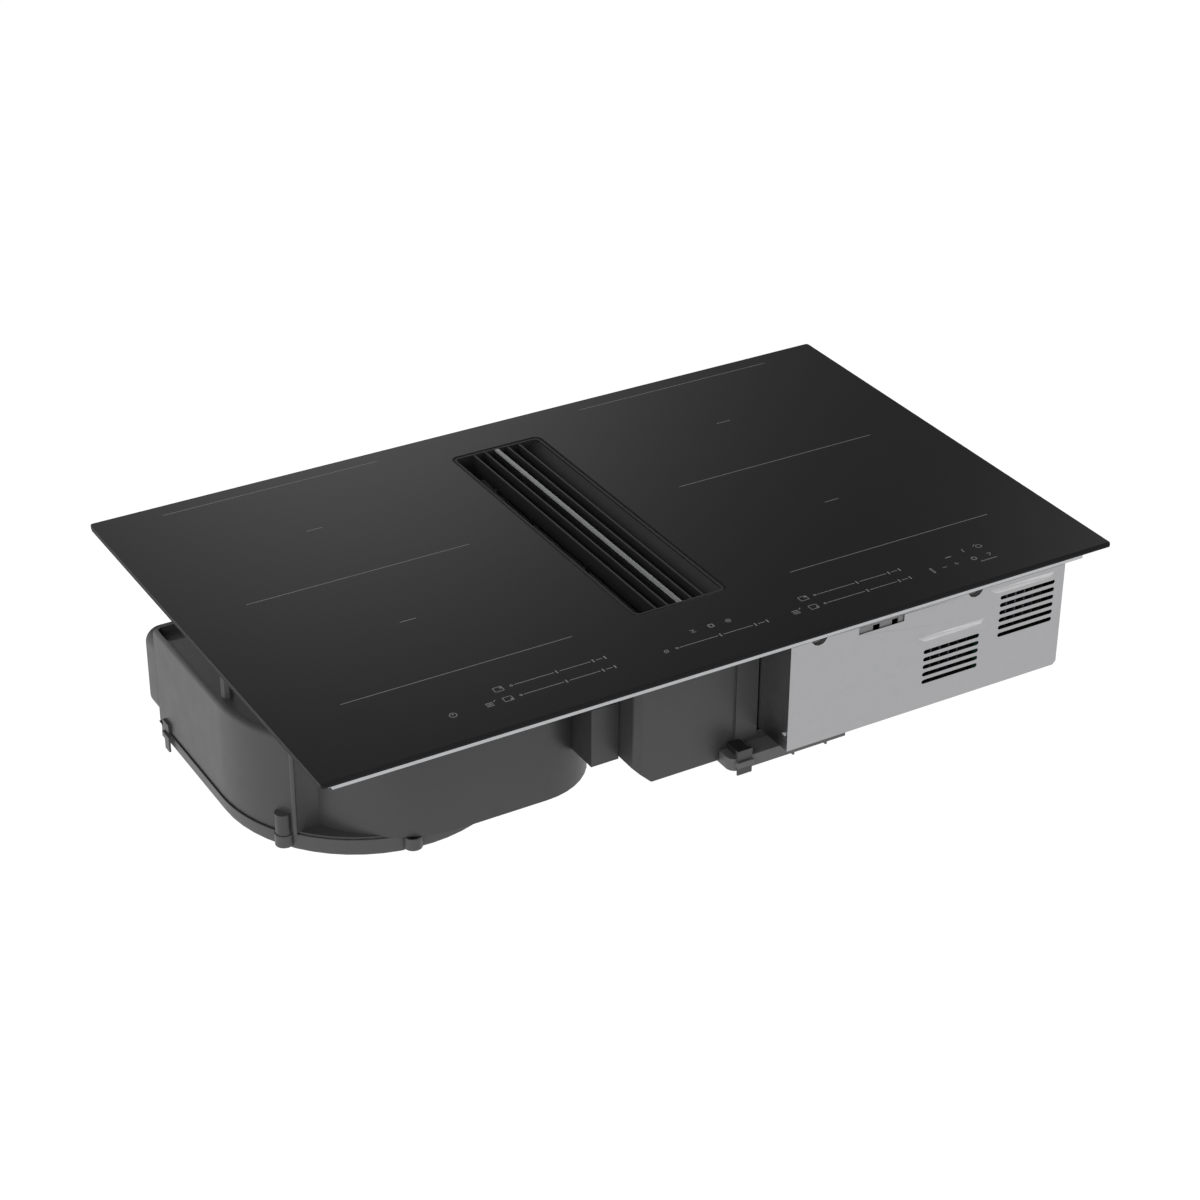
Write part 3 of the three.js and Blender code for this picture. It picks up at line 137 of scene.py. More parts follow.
def merged_copy(node, name, whole_faces=True):
    """A CAD node's mesh as one welded surface; whole_faces joins the triangles of each flat face again."""
    piece = bpy.data.objects.new(name, nodes[node].data.copy())
    bpy.context.scene.collection.objects.link(piece)
    pick_up(piece)
    bpy.ops.object.mode_set(mode="EDIT")
    bpy.ops.mesh.select_all(action="SELECT")
    bpy.ops.mesh.remove_doubles(threshold=WELD_DISTANCE)
    if whole_faces:
        bpy.ops.mesh.dissolve_limited(angle_limit=FLAT_ANGLE)
    bpy.ops.object.mode_set(mode="OBJECT")
    return piece


def select_points(piece, test):
    """In edit mode, only the vertices whose place in millimetres passes the test are selected."""
    bpy.ops.object.mode_set(mode="OBJECT")
    for edge in piece.data.edges:
        edge.select = False
    for face in piece.data.polygons:
        face.select = False
    for vertex in piece.data.vertices:
        vertex.select = bool(test(vertex.co / MM))
    bpy.ops.object.mode_set(mode="EDIT")
    bpy.ops.mesh.select_mode(type="VERT")


def shift_points(piece, test, move):
    """The vertices that pass the test moved, in millimetres."""
    pick_up(piece)
    select_points(piece, test)
    bpy.ops.transform.translate(value=tuple(v * MM for v in move))
    bpy.ops.object.mode_set(mode="OBJECT")


def dress(
    node, name, material, width, segments=2, from_angle=34, smooth=50, whole_faces=True, shifts=(),
):
    """A CAD node's copy with rounded edges, in its place; shifts are tests for vertices and their moves."""
    piece = merged_copy(node, name, whole_faces)
    for test, move in shifts:
        shift_points(piece, test, move)
    if width:
        round_edges(piece, width * MM, segments, from_angle, smooth)
    else:
        pick_up(piece)
        bpy.ops.object.shade_smooth_by_angle(angle=math.radians(smooth))
    return finish_piece(piece, material, nodes[node]["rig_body"], (node,))


def join_all(pieces, name):
    """The pieces joined to one object of this name."""
    put_down()
    for piece in pieces:
        piece.select_set(True)
    bpy.context.view_layer.objects.active = pieces[0]
    if len(pieces) > 1:
        bpy.ops.object.join()
    whole = bpy.context.view_layer.objects.active
    whole.name = name
    whole.data.name = name
    return whole


# ------------------------------------------------------------------ shader groups

def new_group(name, inputs, outputs):
    tree = bpy.data.node_groups.new(name, "ShaderNodeTree")
    for label, kind, value in inputs:
        socket = tree.interface.new_socket(name=label, in_out="INPUT", socket_type=kind)
        if value is not None:
            socket.default_value = value
    for label, kind in outputs:
        tree.interface.new_socket(name=label, in_out="OUTPUT", socket_type=kind)
    return tree, tree.nodes.new("NodeGroupInput"), tree.nodes.new("NodeGroupOutput")


def add(tree, kind, **settings):
    node = tree.nodes.new(kind)
    for key, value in settings.items():
        setattr(node, key, value)
    return node


def math_node(tree, operation, first, second=None):
    node = add(tree, "ShaderNodeMath", operation=operation)
    for n, value in enumerate([first, second]):
        if value is None:
            continue
        if isinstance(value, (int, float)):
            node.inputs[n].default_value = value
        else:
            tree.links.new(value, node.inputs[n])
    return node.outputs[0]


def noise(tree, vector, scale, detail=2.0):
    node = add(tree, "ShaderNodeTexNoise")
    node.inputs["Detail"].default_value = detail
    tree.links.new(vector, node.inputs["Vector"])
    if isinstance(scale, (int, float)):
        node.inputs["Scale"].default_value = scale
    else:
        tree.links.new(scale, node.inputs["Scale"])
    return node.outputs["Fac"]


def swung(tree, middle, swing, pattern):
    """The middle value moved by swing times the pattern's distance from a half."""
    offset = math_node(tree, "MULTIPLY", math_node(tree, "SUBTRACT", pattern, 0.5), swing)
    return math_node(tree, "ADD", middle, offset)


def toned(tree, colour, spread, pattern):
    """Colour made lighter and darker by spread times the pattern's distance from a half."""
    scaled = add(tree, "ShaderNodeVectorMath", operation="SCALE")
    tree.links.new(colour, scaled.inputs[0])
    tree.links.new(swung(tree, 1.0, spread, pattern), scaled.inputs["Scale"])
    return scaled.outputs[0]


def weighed(tree, first, first_share, second, second_share):
    """Two patterns, each times its share, added."""
    scaled = [math_node(tree, "MULTIPLY", *pair) for pair in ((first, first_share), (second, second_share))]
    return math_node(tree, "ADD", *scaled)


def close_group(tree, enter, leave, tone, gloss, height):
    """The outputs linked: colour follows the tone pattern, roughness the gloss pattern."""
    colour = toned(tree, enter.outputs["Colour"], enter.outputs["Tone Spread"], tone)
    rough = swung(tree, enter.outputs["Roughness"], enter.outputs["Roughness Spread"], gloss)
    tree.links.new(colour, leave.inputs["Colour"])
    tree.links.new(rough, leave.inputs["Roughness"])
    tree.links.new(height, leave.inputs["Height"])
    return tree


COMMON_INPUTS = [
    ("Vector", "NodeSocketVector", None),
    ("Colour", "NodeSocketColor", (0.5, 0.5, 0.5, 1)),
    ("Tone Spread", "NodeSocketFloat", 0.1),
    ("Roughness", "NodeSocketFloat", 0.5),
    ("Roughness Spread", "NodeSocketFloat", 0.1),
    ("Scale", "NodeSocketFloat", 900.0),
]
COMMON_OUTPUTS = [
    ("Colour", "NodeSocketColor"), ("Roughness", "NodeSocketFloat"), ("Height", "NodeSocketFloat"),
]
LINE_STRETCH = (0.02, 1.0, 1.0)  # draws noise out to lines along the first axis


def moulded_grain():
    """Matt moulded plastic: slow clouds in tone and gloss, and the fine spark-eroded grain."""
    tree, enter, leave = new_group("moulded_grain", COMMON_INPUTS, COMMON_OUTPUTS)
    vector = enter.outputs["Vector"]
    clouds = noise(tree, vector, scale=14.0, detail=3.0)
    flow = noise(tree, vector, scale=45.0)
    grain = noise(tree, vector, enter.outputs["Scale"])
    return close_group(tree, enter, leave, weighed(tree, clouds, 0.7, grain, 0.3), flow, grain)


def drawn_metal():
    """Rolled or brushed metal: fine lines along the vector's first axis over slow clouds."""
    tree, enter, leave = new_group("drawn_metal", COMMON_INPUTS, COMMON_OUTPUTS)
    stretch = add(tree, "ShaderNodeVectorMath", operation="MULTIPLY")
    tree.links.new(enter.outputs["Vector"], stretch.inputs[0])
    stretch.inputs[1].default_value = LINE_STRETCH
    lines = noise(tree, stretch.outputs[0], enter.outputs["Scale"], detail=3.0)
    clouds = noise(tree, enter.outputs["Vector"], scale=8.0)
    return close_group(tree, enter, leave, weighed(tree, clouds, 0.5, lines, 0.5), lines, lines)


def zinc_coat():
    """Zinc-coated sheet: flat crystals, each a shade lighter or duller than the next."""
    tree, enter, leave = new_group("zinc_coat", COMMON_INPUTS, COMMON_OUTPUTS)
    crystals = add(tree, "ShaderNodeTexVoronoi")
    tree.links.new(enter.outputs["Vector"], crystals.inputs["Vector"])
    tree.links.new(enter.outputs["Scale"], crystals.inputs["Scale"])
    tone = add(tree, "ShaderNodeSeparateColor")
    tree.links.new(crystals.outputs["Color"], tone.inputs[0])
    clouds = noise(tree, enter.outputs["Vector"], scale=7.0)
    relief = noise(tree, enter.outputs["Vector"], scale=260.0)
    shade = weighed(tree, clouds, 0.6, tone.outputs[0], 0.4)
    return close_group(tree, enter, leave, shade, tone.outputs[1], relief)


MOULDED = moulded_grain()
DRAWN = drawn_metal()
ZINC = zinc_coat()


# ------------------------------------------------------------------ materials

def plain_material(name, **values):
    """A new material, with its node tree and shader; values name the shader's inputs."""
    material = bpy.data.materials.new(name)
    material.use_nodes = True
    shader = material.node_tree.nodes["Principled BSDF"]
    for label, value in values.items():
        shader.inputs[label.replace("_", " ")].default_value = value
    return material, material.node_tree, shader


def object_vector(tree, turn=(0, 0, 0), centre=(0, 0, 0)):
    """Object coordinates, turned and moved."""
    where = add(tree, "ShaderNodeTexCoord")
    mapping = add(tree, "ShaderNodeMapping")
    mapping.inputs["Location"].default_value = centre
    mapping.inputs["Rotation"].default_value = turn
    tree.links.new(where.outputs["Object"], mapping.inputs["Vector"])
    return mapping.outputs["Vector"]


def surfaced(
    name, group, colour, spread, rough, scale, bump, depth, rough_spread=0.1, turn=(0, 0, 0), **values,
):
    """A material fed by one of the shader groups; the bump's depth is in millimetres."""
    material, tree, shader = plain_material(name, **values)
    effect = add(tree, "ShaderNodeGroup")
    effect.node_tree = group
    tree.links.new(object_vector(tree, turn), effect.inputs["Vector"])
    effect.inputs["Colour"].default_value = (*colour, 1)
    effect.inputs["Tone Spread"].default_value = spread
    effect.inputs["Roughness"].default_value = rough
    effect.inputs["Roughness Spread"].default_value = rough_spread
    effect.inputs["Scale"].default_value = scale
    relief = add(tree, "ShaderNodeBump")
    relief.inputs["Strength"].default_value = bump
    relief.inputs["Distance"].default_value = depth * MM
    tree.links.new(effect.outputs["Colour"], shader.inputs["Base Color"])
    tree.links.new(effect.outputs["Roughness"], shader.inputs["Roughness"])
    tree.links.new(effect.outputs["Height"], relief.inputs["Height"])
    tree.links.new(relief.outputs["Normal"], shader.inputs["Normal"])
    return material


ALONG_Y = (0, 0, math.radians(90))
glass_black = surfaced(
    "glass_black", MOULDED, (0.003, 0.003, 0.0034), spread=0.5, rough=0.045, rough_spread=0.03,
    scale=1400, bump=0.0, depth=0.01, IOR=1.5,
)
# the foam seal's own near-black; also used on the dark band at the cover joint, which is painted shade
seal_foam_and_joint_shade = surfaced(
    "seal_foam_and_joint_shade", MOULDED, (0.006, 0.006, 0.006), spread=0.6, rough=0.85,
    scale=1500, bump=0.5, depth=0.15,
)
grille_black = surfaced(
    "grille_black", MOULDED, (0.0135, 0.0135, 0.0143), spread=0.25, rough=0.42,
    scale=1200, bump=0.15, depth=0.04,
)
# near-black finish of the inlet collar; also put on the clip's top and arm as painted shade
collar_black_and_clip_shade = surfaced(
    "collar_black_and_clip_shade", MOULDED, (0.006, 0.006, 0.0065), spread=0.25, rough=0.55,
    scale=1200, bump=0.15, depth=0.04,
)
bar_silver = surfaced(
    "bar_silver", DRAWN, (0.5, 0.505, 0.515), spread=0.22, rough=0.3, rough_spread=0.14,
    scale=2600, bump=0.2, depth=0.02, turn=ALONG_Y, Metallic=1.0,
)
filter_steel = surfaced(
    "filter_steel", DRAWN, (0.5, 0.51, 0.52), spread=0.25, rough=0.34, rough_spread=0.15,
    scale=1500, bump=0.2, depth=0.02, turn=ALONG_Y, Metallic=1.0,
)
tray_steel = surfaced(
    "tray_steel", ZINC, (0.46, 0.465, 0.475), spread=0.14, rough=0.3,
    scale=160, bump=0.12, depth=0.05, Metallic=0.95,
)
box_steel = surfaced(
    "box_steel", ZINC, (0.375, 0.375, 0.383), spread=0.05, rough=0.3, rough_spread=0.05,
    scale=140, bump=0.05, depth=0.03, Metallic=1.0,
)
# lighter, slightly glossier copy of box_steel for the hoods' upward faces: painted highlight
hood_highlight_steel = surfaced(
    "hood_highlight_steel", ZINC, (0.46, 0.46, 0.468), spread=0.05, rough=0.28, rough_spread=0.05,
    scale=140, bump=0.05, depth=0.03, Metallic=1.0,
)
black_plastic = surfaced(
    "black_plastic", MOULDED, (0.037, 0.037, 0.0382), spread=0.14, rough=0.42,
    scale=1100, bump=0.25, depth=0.05,
)
cover_plastic = surfaced(
    "cover_plastic", MOULDED, (0.052, 0.052, 0.0535), spread=0.14, rough=0.42,
    scale=1100, bump=0.25, depth=0.05,
)
inner_grey = surfaced(
    "inner_grey", MOULDED, (0.2, 0.2, 0.205), spread=0.2, rough=0.5,
    scale=900, bump=0.1, depth=0.02, Metallic=0.3,
)
tray_plastic = surfaced(
    "tray_plastic", MOULDED, (0.085, 0.085, 0.087), spread=0.14, rough=0.42,
    scale=1100, bump=0.25, depth=0.05,
)
glass_edge = surfaced(
    "glass_edge", MOULDED, (0.012, 0.012, 0.013), spread=0.3, rough=0.5,
    scale=1400, bump=0.1, depth=0.01, Specular_IOR_Level=0.12,
)
fan_plastic = surfaced(
    "fan_plastic", MOULDED, (0.022, 0.022, 0.024), spread=0.2, rough=0.45,
    scale=900, bump=0.2, depth=0.05,
)
motor_steel = surfaced(
    "motor_steel", DRAWN, (0.46, 0.46, 0.48), spread=0.25, rough=0.32, rough_spread=0.15,
    scale=1800, bump=0.2, depth=0.02, Metallic=1.0,
)
# dark base colour: painted shade for the fins seen through the box's louvres
heat_sink = surfaced(
    "heat_sink", DRAWN, (0.1, 0.102, 0.108), spread=0.2, rough=0.45, rough_spread=0.12,
    scale=1500, bump=0.2, depth=0.02, turn=ALONG_Y, Metallic=0.8,
)
mica = surfaced(
    "mica", MOULDED, (0.62, 0.58, 0.48), spread=0.35, rough=0.6, rough_spread=0.15,
    scale=300, bump=0.2, depth=0.05,
)
screw_zinc = surfaced(
    "screw_zinc", DRAWN, (0.4, 0.41, 0.43), spread=0.2, rough=0.3, rough_spread=0.12,
    scale=2200, bump=0.15, depth=0.01, Metallic=1.0,
)
print_grey = surfaced(
    "print_grey", MOULDED, (0.17, 0.17, 0.175), spread=0.15, rough=0.6,
    scale=2500, bump=0.1, depth=0.005,
)
print_bright = surfaced(
    "print_bright", MOULDED, (0.14, 0.14, 0.144), spread=0.15, rough=0.6,
    scale=2500, bump=0.1, depth=0.005,
)


TURNS_SCALE = 58.0  # of the ring texture that stands for the turns of wire
WIRE_RELIEF = 0.6 * MM


def winding_material(name, centre):
    """Enamelled wire wound flat: rings about the coil's own centre."""
    material, tree, shader = plain_material(name, Roughness=0.36, Metallic=0.7)
    vector = object_vector(tree, centre=(-centre[0], -centre[1], 0))
    rings = add(tree, "ShaderNodeTexWave", wave_type="RINGS", rings_direction="Z", wave_profile="SIN")
    rings.inputs["Scale"].default_value = TURNS_SCALE
    rings.inputs["Distortion"].default_value = 0.0
    tree.links.new(vector, rings.inputs["Vector"])
    shade = add(tree, "ShaderNodeMix", data_type="RGBA")
    shade.inputs["A"].default_value = (0.12, 0.03, 0.012, 1)
    shade.inputs["B"].default_value = (0.5, 0.19, 0.075, 1)
    tree.links.new(rings.outputs["Fac"], shade.inputs["Factor"])
    relief = add(tree, "ShaderNodeBump")
    relief.inputs["Distance"].default_value = WIRE_RELIEF
    tree.links.new(rings.outputs["Fac"], relief.inputs["Height"])
    tree.links.new(shade.outputs["Result"], shader.inputs["Base Color"])
    tree.links.new(relief.outputs["Normal"], shader.inputs["Normal"])
    return material


def split_by_height(name, level, below, above, spread=0.2, **values):
    """Two finishes on one piece: what lies above the level has the second colour."""
    material, tree, shader = plain_material(name, **values)
    vector = object_vector(tree)
    where = add(tree, "ShaderNodeSeparateXYZ")
    tree.links.new(vector, where.inputs[0])
    higher = math_node(tree, "GREATER_THAN", where.outputs["Z"], level)
    shade = add(tree, "ShaderNodeMix", data_type="RGBA")
    shade.inputs["A"].default_value = (*below, 1)
    shade.inputs["B"].default_value = (*above, 1)
    tree.links.new(higher, shade.inputs["Factor"])
    effect = add(tree, "ShaderNodeGroup")
    effect.node_tree = MOULDED
    effect.inputs["Tone Spread"].default_value = spread
    effect.inputs["Roughness"].default_value = 0.45
    effect.inputs["Scale"].default_value = 700
    tree.links.new(vector, effect.inputs["Vector"])
    tree.links.new(shade.outputs["Result"], effect.inputs["Colour"])
    tree.links.new(effect.outputs["Colour"], shader.inputs["Base Color"])
    tree.links.new(effect.outputs["Roughness"], shader.inputs["Roughness"])
    return material


# ------------------------------------------------------------------ camera, stage and light

CAMERA_PLACE = Vector((-1.1822, -2.0075, 1.2869))
CAMERA_TURN = math.radians(-30.56)
CAMERA_RISE = math.radians(30.19)
CAMERA_ROLL = math.radians(0.40)
CAMERA_LENS = 83.33
FLOOR_LEVEL = -0.45
FLOOR_GLOW = 1.1
FLOOR_GLOW_SHARE = 0.86  # the rest takes the shadow


def make_camera():
    """The photograph's view of the object."""
    back = Vector((
        math.sin(CAMERA_TURN) * math.cos(CAMERA_RISE),
        -math.cos(CAMERA_TURN) * math.cos(CAMERA_RISE),
        math.sin(CAMERA_RISE),
    ))
    right = Vector((0, 0, 1)).cross(back).normalized()
    up = back.cross(right)
    across = math.cos(CAMERA_ROLL) * right + math.sin(CAMERA_ROLL) * up
    upward = -math.sin(CAMERA_ROLL) * right + math.cos(CAMERA_ROLL) * up
    lens = bpy.data.cameras.new("camera")
    lens.sensor_width = 36
    lens.lens = CAMERA_LENS
    lens.clip_end = 50
    camera = bpy.data.objects.new("camera", lens)
    bpy.context.scene.collection.objects.link(camera)
    turned = Matrix((across, upward, back)).transposed().to_4x4()
    camera.matrix_world = Matrix.Translation(CAMERA_PLACE) @ turned
    bpy.context.scene.camera = camera


def seen_mask(tree):
    """1 for camera, glossy and transmission rays, 0 for those that only carry light."""
    path = add(tree, "ShaderNodeLightPath")
    first = math_node(tree, "MAXIMUM", path.outputs["Is Camera Ray"], path.outputs["Is Glossy Ray"])
    return math_node(tree, "MAXIMUM", first, path.outputs["Is Transmission Ray"])


def make_floor():
    """A matt floor that takes the shadow and glows white for the rays that show it."""
    put_down()
    bpy.ops.mesh.primitive_plane_add(size=24, location=(0, 0, FLOOR_LEVEL))
    floor = fresh("floor")
    material = bpy.data.materials.new("floor_white")
    material.use_nodes = True
    tree = material.node_tree
    tree.nodes.remove(tree.nodes["Principled BSDF"])
    matt = add(tree, "ShaderNodeBsdfDiffuse")
    matt.inputs["Color"].default_value = (0.86, 0.86, 0.86, 1)
    glow = add(tree, "ShaderNodeEmission")
    glow.inputs["Color"].default_value = (1, 1, 1, 1)
    glow.inputs["Strength"].default_value = FLOOR_GLOW
    share = math_node(tree, "MULTIPLY", seen_mask(tree), FLOOR_GLOW_SHARE)
    both = add(tree, "ShaderNodeMixShader")
    tree.links.new(share, both.inputs[0])
    tree.links.new(matt.outputs[0], both.inputs[1])
    tree.links.new(glow.outputs[0], both.inputs[2])
    tree.links.new(both.outputs[0], tree.nodes["Material Output"].inputs["Surface"])
    floor.data.materials.append(material)
    put_down()


def bearing(azimuth, elevation):
    """Unit vector towards an azimuth, degrees right of +Y, and an elevation."""
    a, e = math.radians(azimuth), math.radians(elevation)
    return math.sin(a) * math.cos(e), math.cos(a) * math.cos(e), math.sin(e)


def glow_patch(tree, direction, towards, half_width, strength):
    """A soft round patch of light in the surroundings."""
    dot = add(tree, "ShaderNodeVectorMath", operation="DOT_PRODUCT")
    tree.links.new(direction, dot.inputs[0])
    dot.inputs[1].default_value = towards
    sharp = 1 / math.radians(half_width) ** 2
    power = math_node(tree, "MULTIPLY", math_node(tree, "SUBTRACT", dot.outputs["Value"], 1.0), sharp)
    return math_node(tree, "MULTIPLY", math_node(tree, "EXPONENT", power), strength)


# azimuth and elevation of the middle, half width in degrees, strength
WORLD_PATCHES = (((24.1, 24.7), 4.8, 0.6), ((45, 29), 2.9, 0.27), ((152, 24), 12.0, 1.1))
FILL_LEVEL = 0.62  # what the surroundings shine with, as light alone


def make_world():
    """White round the horizon, dim above, with soft patches that the glass and the steel reflect."""
    world = bpy.data.worlds.new("studio")
    bpy.context.scene.world = world
    world.use_nodes = True
    tree = world.node_tree
    background = tree.nodes["Background"]
    direction = add(tree, "ShaderNodeTexCoord").outputs["Generated"]
    parts = add(tree, "ShaderNodeSeparateXYZ")
    tree.links.new(direction, parts.inputs[0])
    ramp = add(tree, "ShaderNodeMapRange", interpolation_type="SMOOTHSTEP")
    ramp.inputs["From Min"].default_value = 0.19
    ramp.inputs["From Max"].default_value = 0.36
    ramp.inputs["To Min"].default_value = 1.0
    ramp.inputs["To Max"].default_value = 0.13
    tree.links.new(parts.outputs["Z"], ramp.inputs["Value"])
    look = ramp.outputs["Result"]
    for middle, half_width, strength in WORLD_PATCHES:
        patch = glow_patch(tree, direction, bearing(*middle), half_width, strength)
        look = math_node(tree, "ADD", look, patch)
    seen = seen_mask(tree)
    level = add(tree, "ShaderNodeMix", data_type="FLOAT")
    level.inputs["A"].default_value = FILL_LEVEL
    tree.links.new(seen, level.inputs["Factor"])
    tree.links.new(look, level.inputs["B"])
    tree.links.new(level.outputs["Result"], background.inputs["Strength"])
    background.inputs["Color"].default_value = (1, 1, 1, 1)


def soft_lamp(name, place, target, size, power, glossy=False):
    """A round area lamp turned to its target; only a glossy one shows in reflections."""
    lamp = bpy.data.lights.new(name, "AREA")
    lamp.shape = "DISK"
    lamp.size = size
    lamp.energy = power
    holder = bpy.data.objects.new(name, lamp)
    bpy.context.scene.collection.objects.link(holder)
    holder.location = place
    holder.rotation_euler = (Vector(target) - Vector(place)).to_track_quat("-Z", "Y").to_euler()
    holder.visible_glossy = glossy
    holder.visible_camera = False


make_camera()
make_floor()
make_world()
soft_lamp("key_lamp", place=(-2.4, -1.6, 1.6), target=(-0.1, 0, -0.08), size=1.6, power=42, glossy=True)
soft_lamp("front_lamp", place=(0.9, -2.6, 0.5), target=(0, 0, -0.1), size=1.4, power=6)
soft_lamp("rear_lamp", place=(-1.6, 1.7, 1.3), target=(-0.36, 0.1, -0.1), size=1.2, power=14)
bpy.context.scene.view_settings.view_transform = "Standard"


# ------------------------------------------------------------------ glass and its printed marks

GLASS_TOP = 6.05 * MM
PRINT_TOP = 6.09 * MM
PRINT_THICKNESS = 0.03 * MM
MARK_LEVEL = GLASS_TOP + 0.01 * MM
GLASS_EDGE_ROUND = 0.45 * MM
STROKE = 0.75
SIGN_STROKE = 0.8
TICK_STROKE = 1.3
TICK_HALF = 1.9
SLIDER_GAPS = (3.2, 3.0)  # after a dot or tick, and before the next


def make_glass():
    """The plate with its edges polished, its top let down to leave room for the print."""
    glass = merged_copy("glass_plate", "glass_sheet")
    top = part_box("glass_plate")[1].z
    pick_up(glass)
    bpy.ops.object.mode_set(mode="EDIT")
    select_faces(glass, lambda centre, normal: centre.z > top - 0.2 * MM and normal.z > 0.9)
    bpy.ops.transform.translate(value=(0, 0, GLASS_TOP - top))
    bpy.ops.object.mode_set(mode="OBJECT")
    round_edges(glass, GLASS_EDGE_ROUND, 3, from_angle=30)
    finish_piece(glass, glass_black, "hob", ("glass_plate",))
    glass.data.materials.append(glass_edge)
    for face in glass.data.polygons:
        face.material_index = 0 if face.normal.z > 0.99 else 1


def bar_mark(x0, y0, x1, y1, width):
    """A printed stroke between two points, with its ends cut off at the corners."""
    put_down()
    length = math.hypot(x1 - x0, y1 - y0)
    bpy.ops.mesh.primitive_plane_add(
        size=1, location=((x0 + x1) / 2 * MM, (y0 + y1) / 2 * MM, MARK_LEVEL),
        rotation=(0, 0, math.atan2(y1 - y0, x1 - x0)),
    )
    stroke = bpy.context.view_layer.objects.active
    stroke.scale = ((length + width) * MM, width * MM, 1)
    fresh("stroke")
    bpy.ops.object.mode_set(mode="EDIT")
    bpy.ops.mesh.select_all(action="SELECT")
    bpy.ops.mesh.bevel(offset=width * 0.35 * MM, segments=2, affect="VERTICES")
    bpy.ops.object.mode_set(mode="OBJECT")
    return stroke


def outline_mark(x, y, half_x, half_y, line, corner=1.0):
    """A printed rounded frame."""
    put_down()
    bpy.ops.mesh.primitive_plane_add(size=1, location=(x * MM, y * MM, MARK_LEVEL))
    sign = bpy.context.view_layer.objects.active
    sign.scale = (2 * half_x * MM, 2 * half_y * MM, 1)
    fresh("outline")
    bpy.ops.object.mode_set(mode="EDIT")
    bpy.ops.mesh.select_all(action="SELECT")
    bpy.ops.mesh.bevel(offset=corner * MM, segments=3, affect="VERTICES")
    bpy.ops.mesh.inset(thickness=line * MM)
    bpy.ops.mesh.delete(type="FACE")
    bpy.ops.object.mode_set(mode="OBJECT")
    return sign


def ring_mark(x, y, radius, line=0.0):
    """A printed disc, or a ring where a line width is given."""
    put_down()
    bpy.ops.mesh.primitive_circle_add(
        vertices=20, radius=radius * MM, fill_type="NGON", location=(x * MM, y * MM, MARK_LEVEL),
    )
    sign = fresh("ring")
    if line:
        bpy.ops.object.mode_set(mode="EDIT")
        bpy.ops.mesh.select_all(action="SELECT")
        bpy.ops.mesh.inset(thickness=line * MM)
        bpy.ops.mesh.delete(type="FACE")
        bpy.ops.object.mode_set(mode="OBJECT")
    return sign


def printed(pieces, name, material):
    """Strokes made one print, a few hundredths of a millimetre thick."""
    print_layer = join_all(pieces, name)
    use_modifier(print_layer, "SOLIDIFY", thickness=PRINT_THICKNESS, offset=-1)
    top = max(v.co.z for v in print_layer.data.vertices)
    bpy.ops.object.mode_set(mode="EDIT")
    bpy.ops.mesh.select_all(action="SELECT")
    bpy.ops.mesh.normals_make_consistent(inside=False)
    bpy.ops.transform.translate(value=(0, 0, PRINT_TOP - top))
    bpy.ops.object.mode_set(mode="OBJECT")
    finish_piece(print_layer, material, "hob")


def slider(x, y, ticks):
    """A touch slider: a start dot, the line and its tick marks."""
    marks = [ring_mark(x[0], y, 1.5, 0.7)]
    stops = [x[0], *ticks, x[1]]
    after, before = SLIDER_GAPS
    for start, end in zip(stops[:-1], stops[1:]):
        marks.append(bar_mark(start + after, y, end - before, y, STROKE))
    marks += [bar_mark(tick, y - TICK_HALF, tick, y + TICK_HALF, TICK_STROKE) for tick in [*ticks, x[1]]]
    return marks


ZONE_LINE_ENDS = (117.5, 346.8)  # from the middle, on both sides
ZONE_LINE_ROWS = (237.8, 41.0, -155.3)
ZONE_MIDDLE_X = 232.2
ZONE_MIDDLE_ROWS = (140.2, -56.7)
ZONE_MARK_HALF = 7.8
# start, ticks between, end, rows
SLIDERS = (
    (-204.7, (-159.3, -122.2), -110.2, (-201.0, -218.9)),
    (-46.3, (-0.2, 37.0), 49.8, (-219.4,)),
    (113.4, (160.7, 196.6), 208.9, (-202.0, -219.2)),
)
ZONE_SIGNS = ((-217.5, -200.9), (-217.4, -218.7), (100.9, -201.9), (100.6, -219.2))
ZONE_SIGN_HALF = (4.6, 3.8)
ZONE_DOTS = ((-214.8, -199.6), (-214.8, -220.4), (103.6, -200.2), (103.6, -221.0))
SWITCH = (-270.9, -218.5)
MENU_SIGNS = (-235.8, 81.1)


def zone_lines():
    """Lines before, between and behind the cooking zones, and a short one in the middle of each."""
    lines = []
    for side in (-1, 1):
        inner, outer = (side * end for end in ZONE_LINE_ENDS)
        lines += [bar_mark(inner, y, outer, y, STROKE) for y in ZONE_LINE_ROWS]
        middle = side * ZONE_MIDDLE_X
        for y in ZONE_MIDDLE_ROWS:
            lines.append(bar_mark(middle - ZONE_MARK_HALF, y, middle + ZONE_MARK_HALF, y, SIGN_STROKE))
    return lines


def touch_lines():
    """The sliders, the frames of the zone signs and the switch."""
    marks = []
    for start, ticks, end, rows in SLIDERS:
        for y in rows:
            marks += slider((start, end), y, ticks)
    marks += [outline_mark(x, y, *ZONE_SIGN_HALF, 0.7) for x, y in ZONE_SIGNS]
    x, y = SWITCH
    marks.append(ring_mark(x, y, 3.7, SIGN_STROKE))
    marks.append(bar_mark(x, y + 0.1, x, y + 3.9, SIGN_STROKE))
    return marks


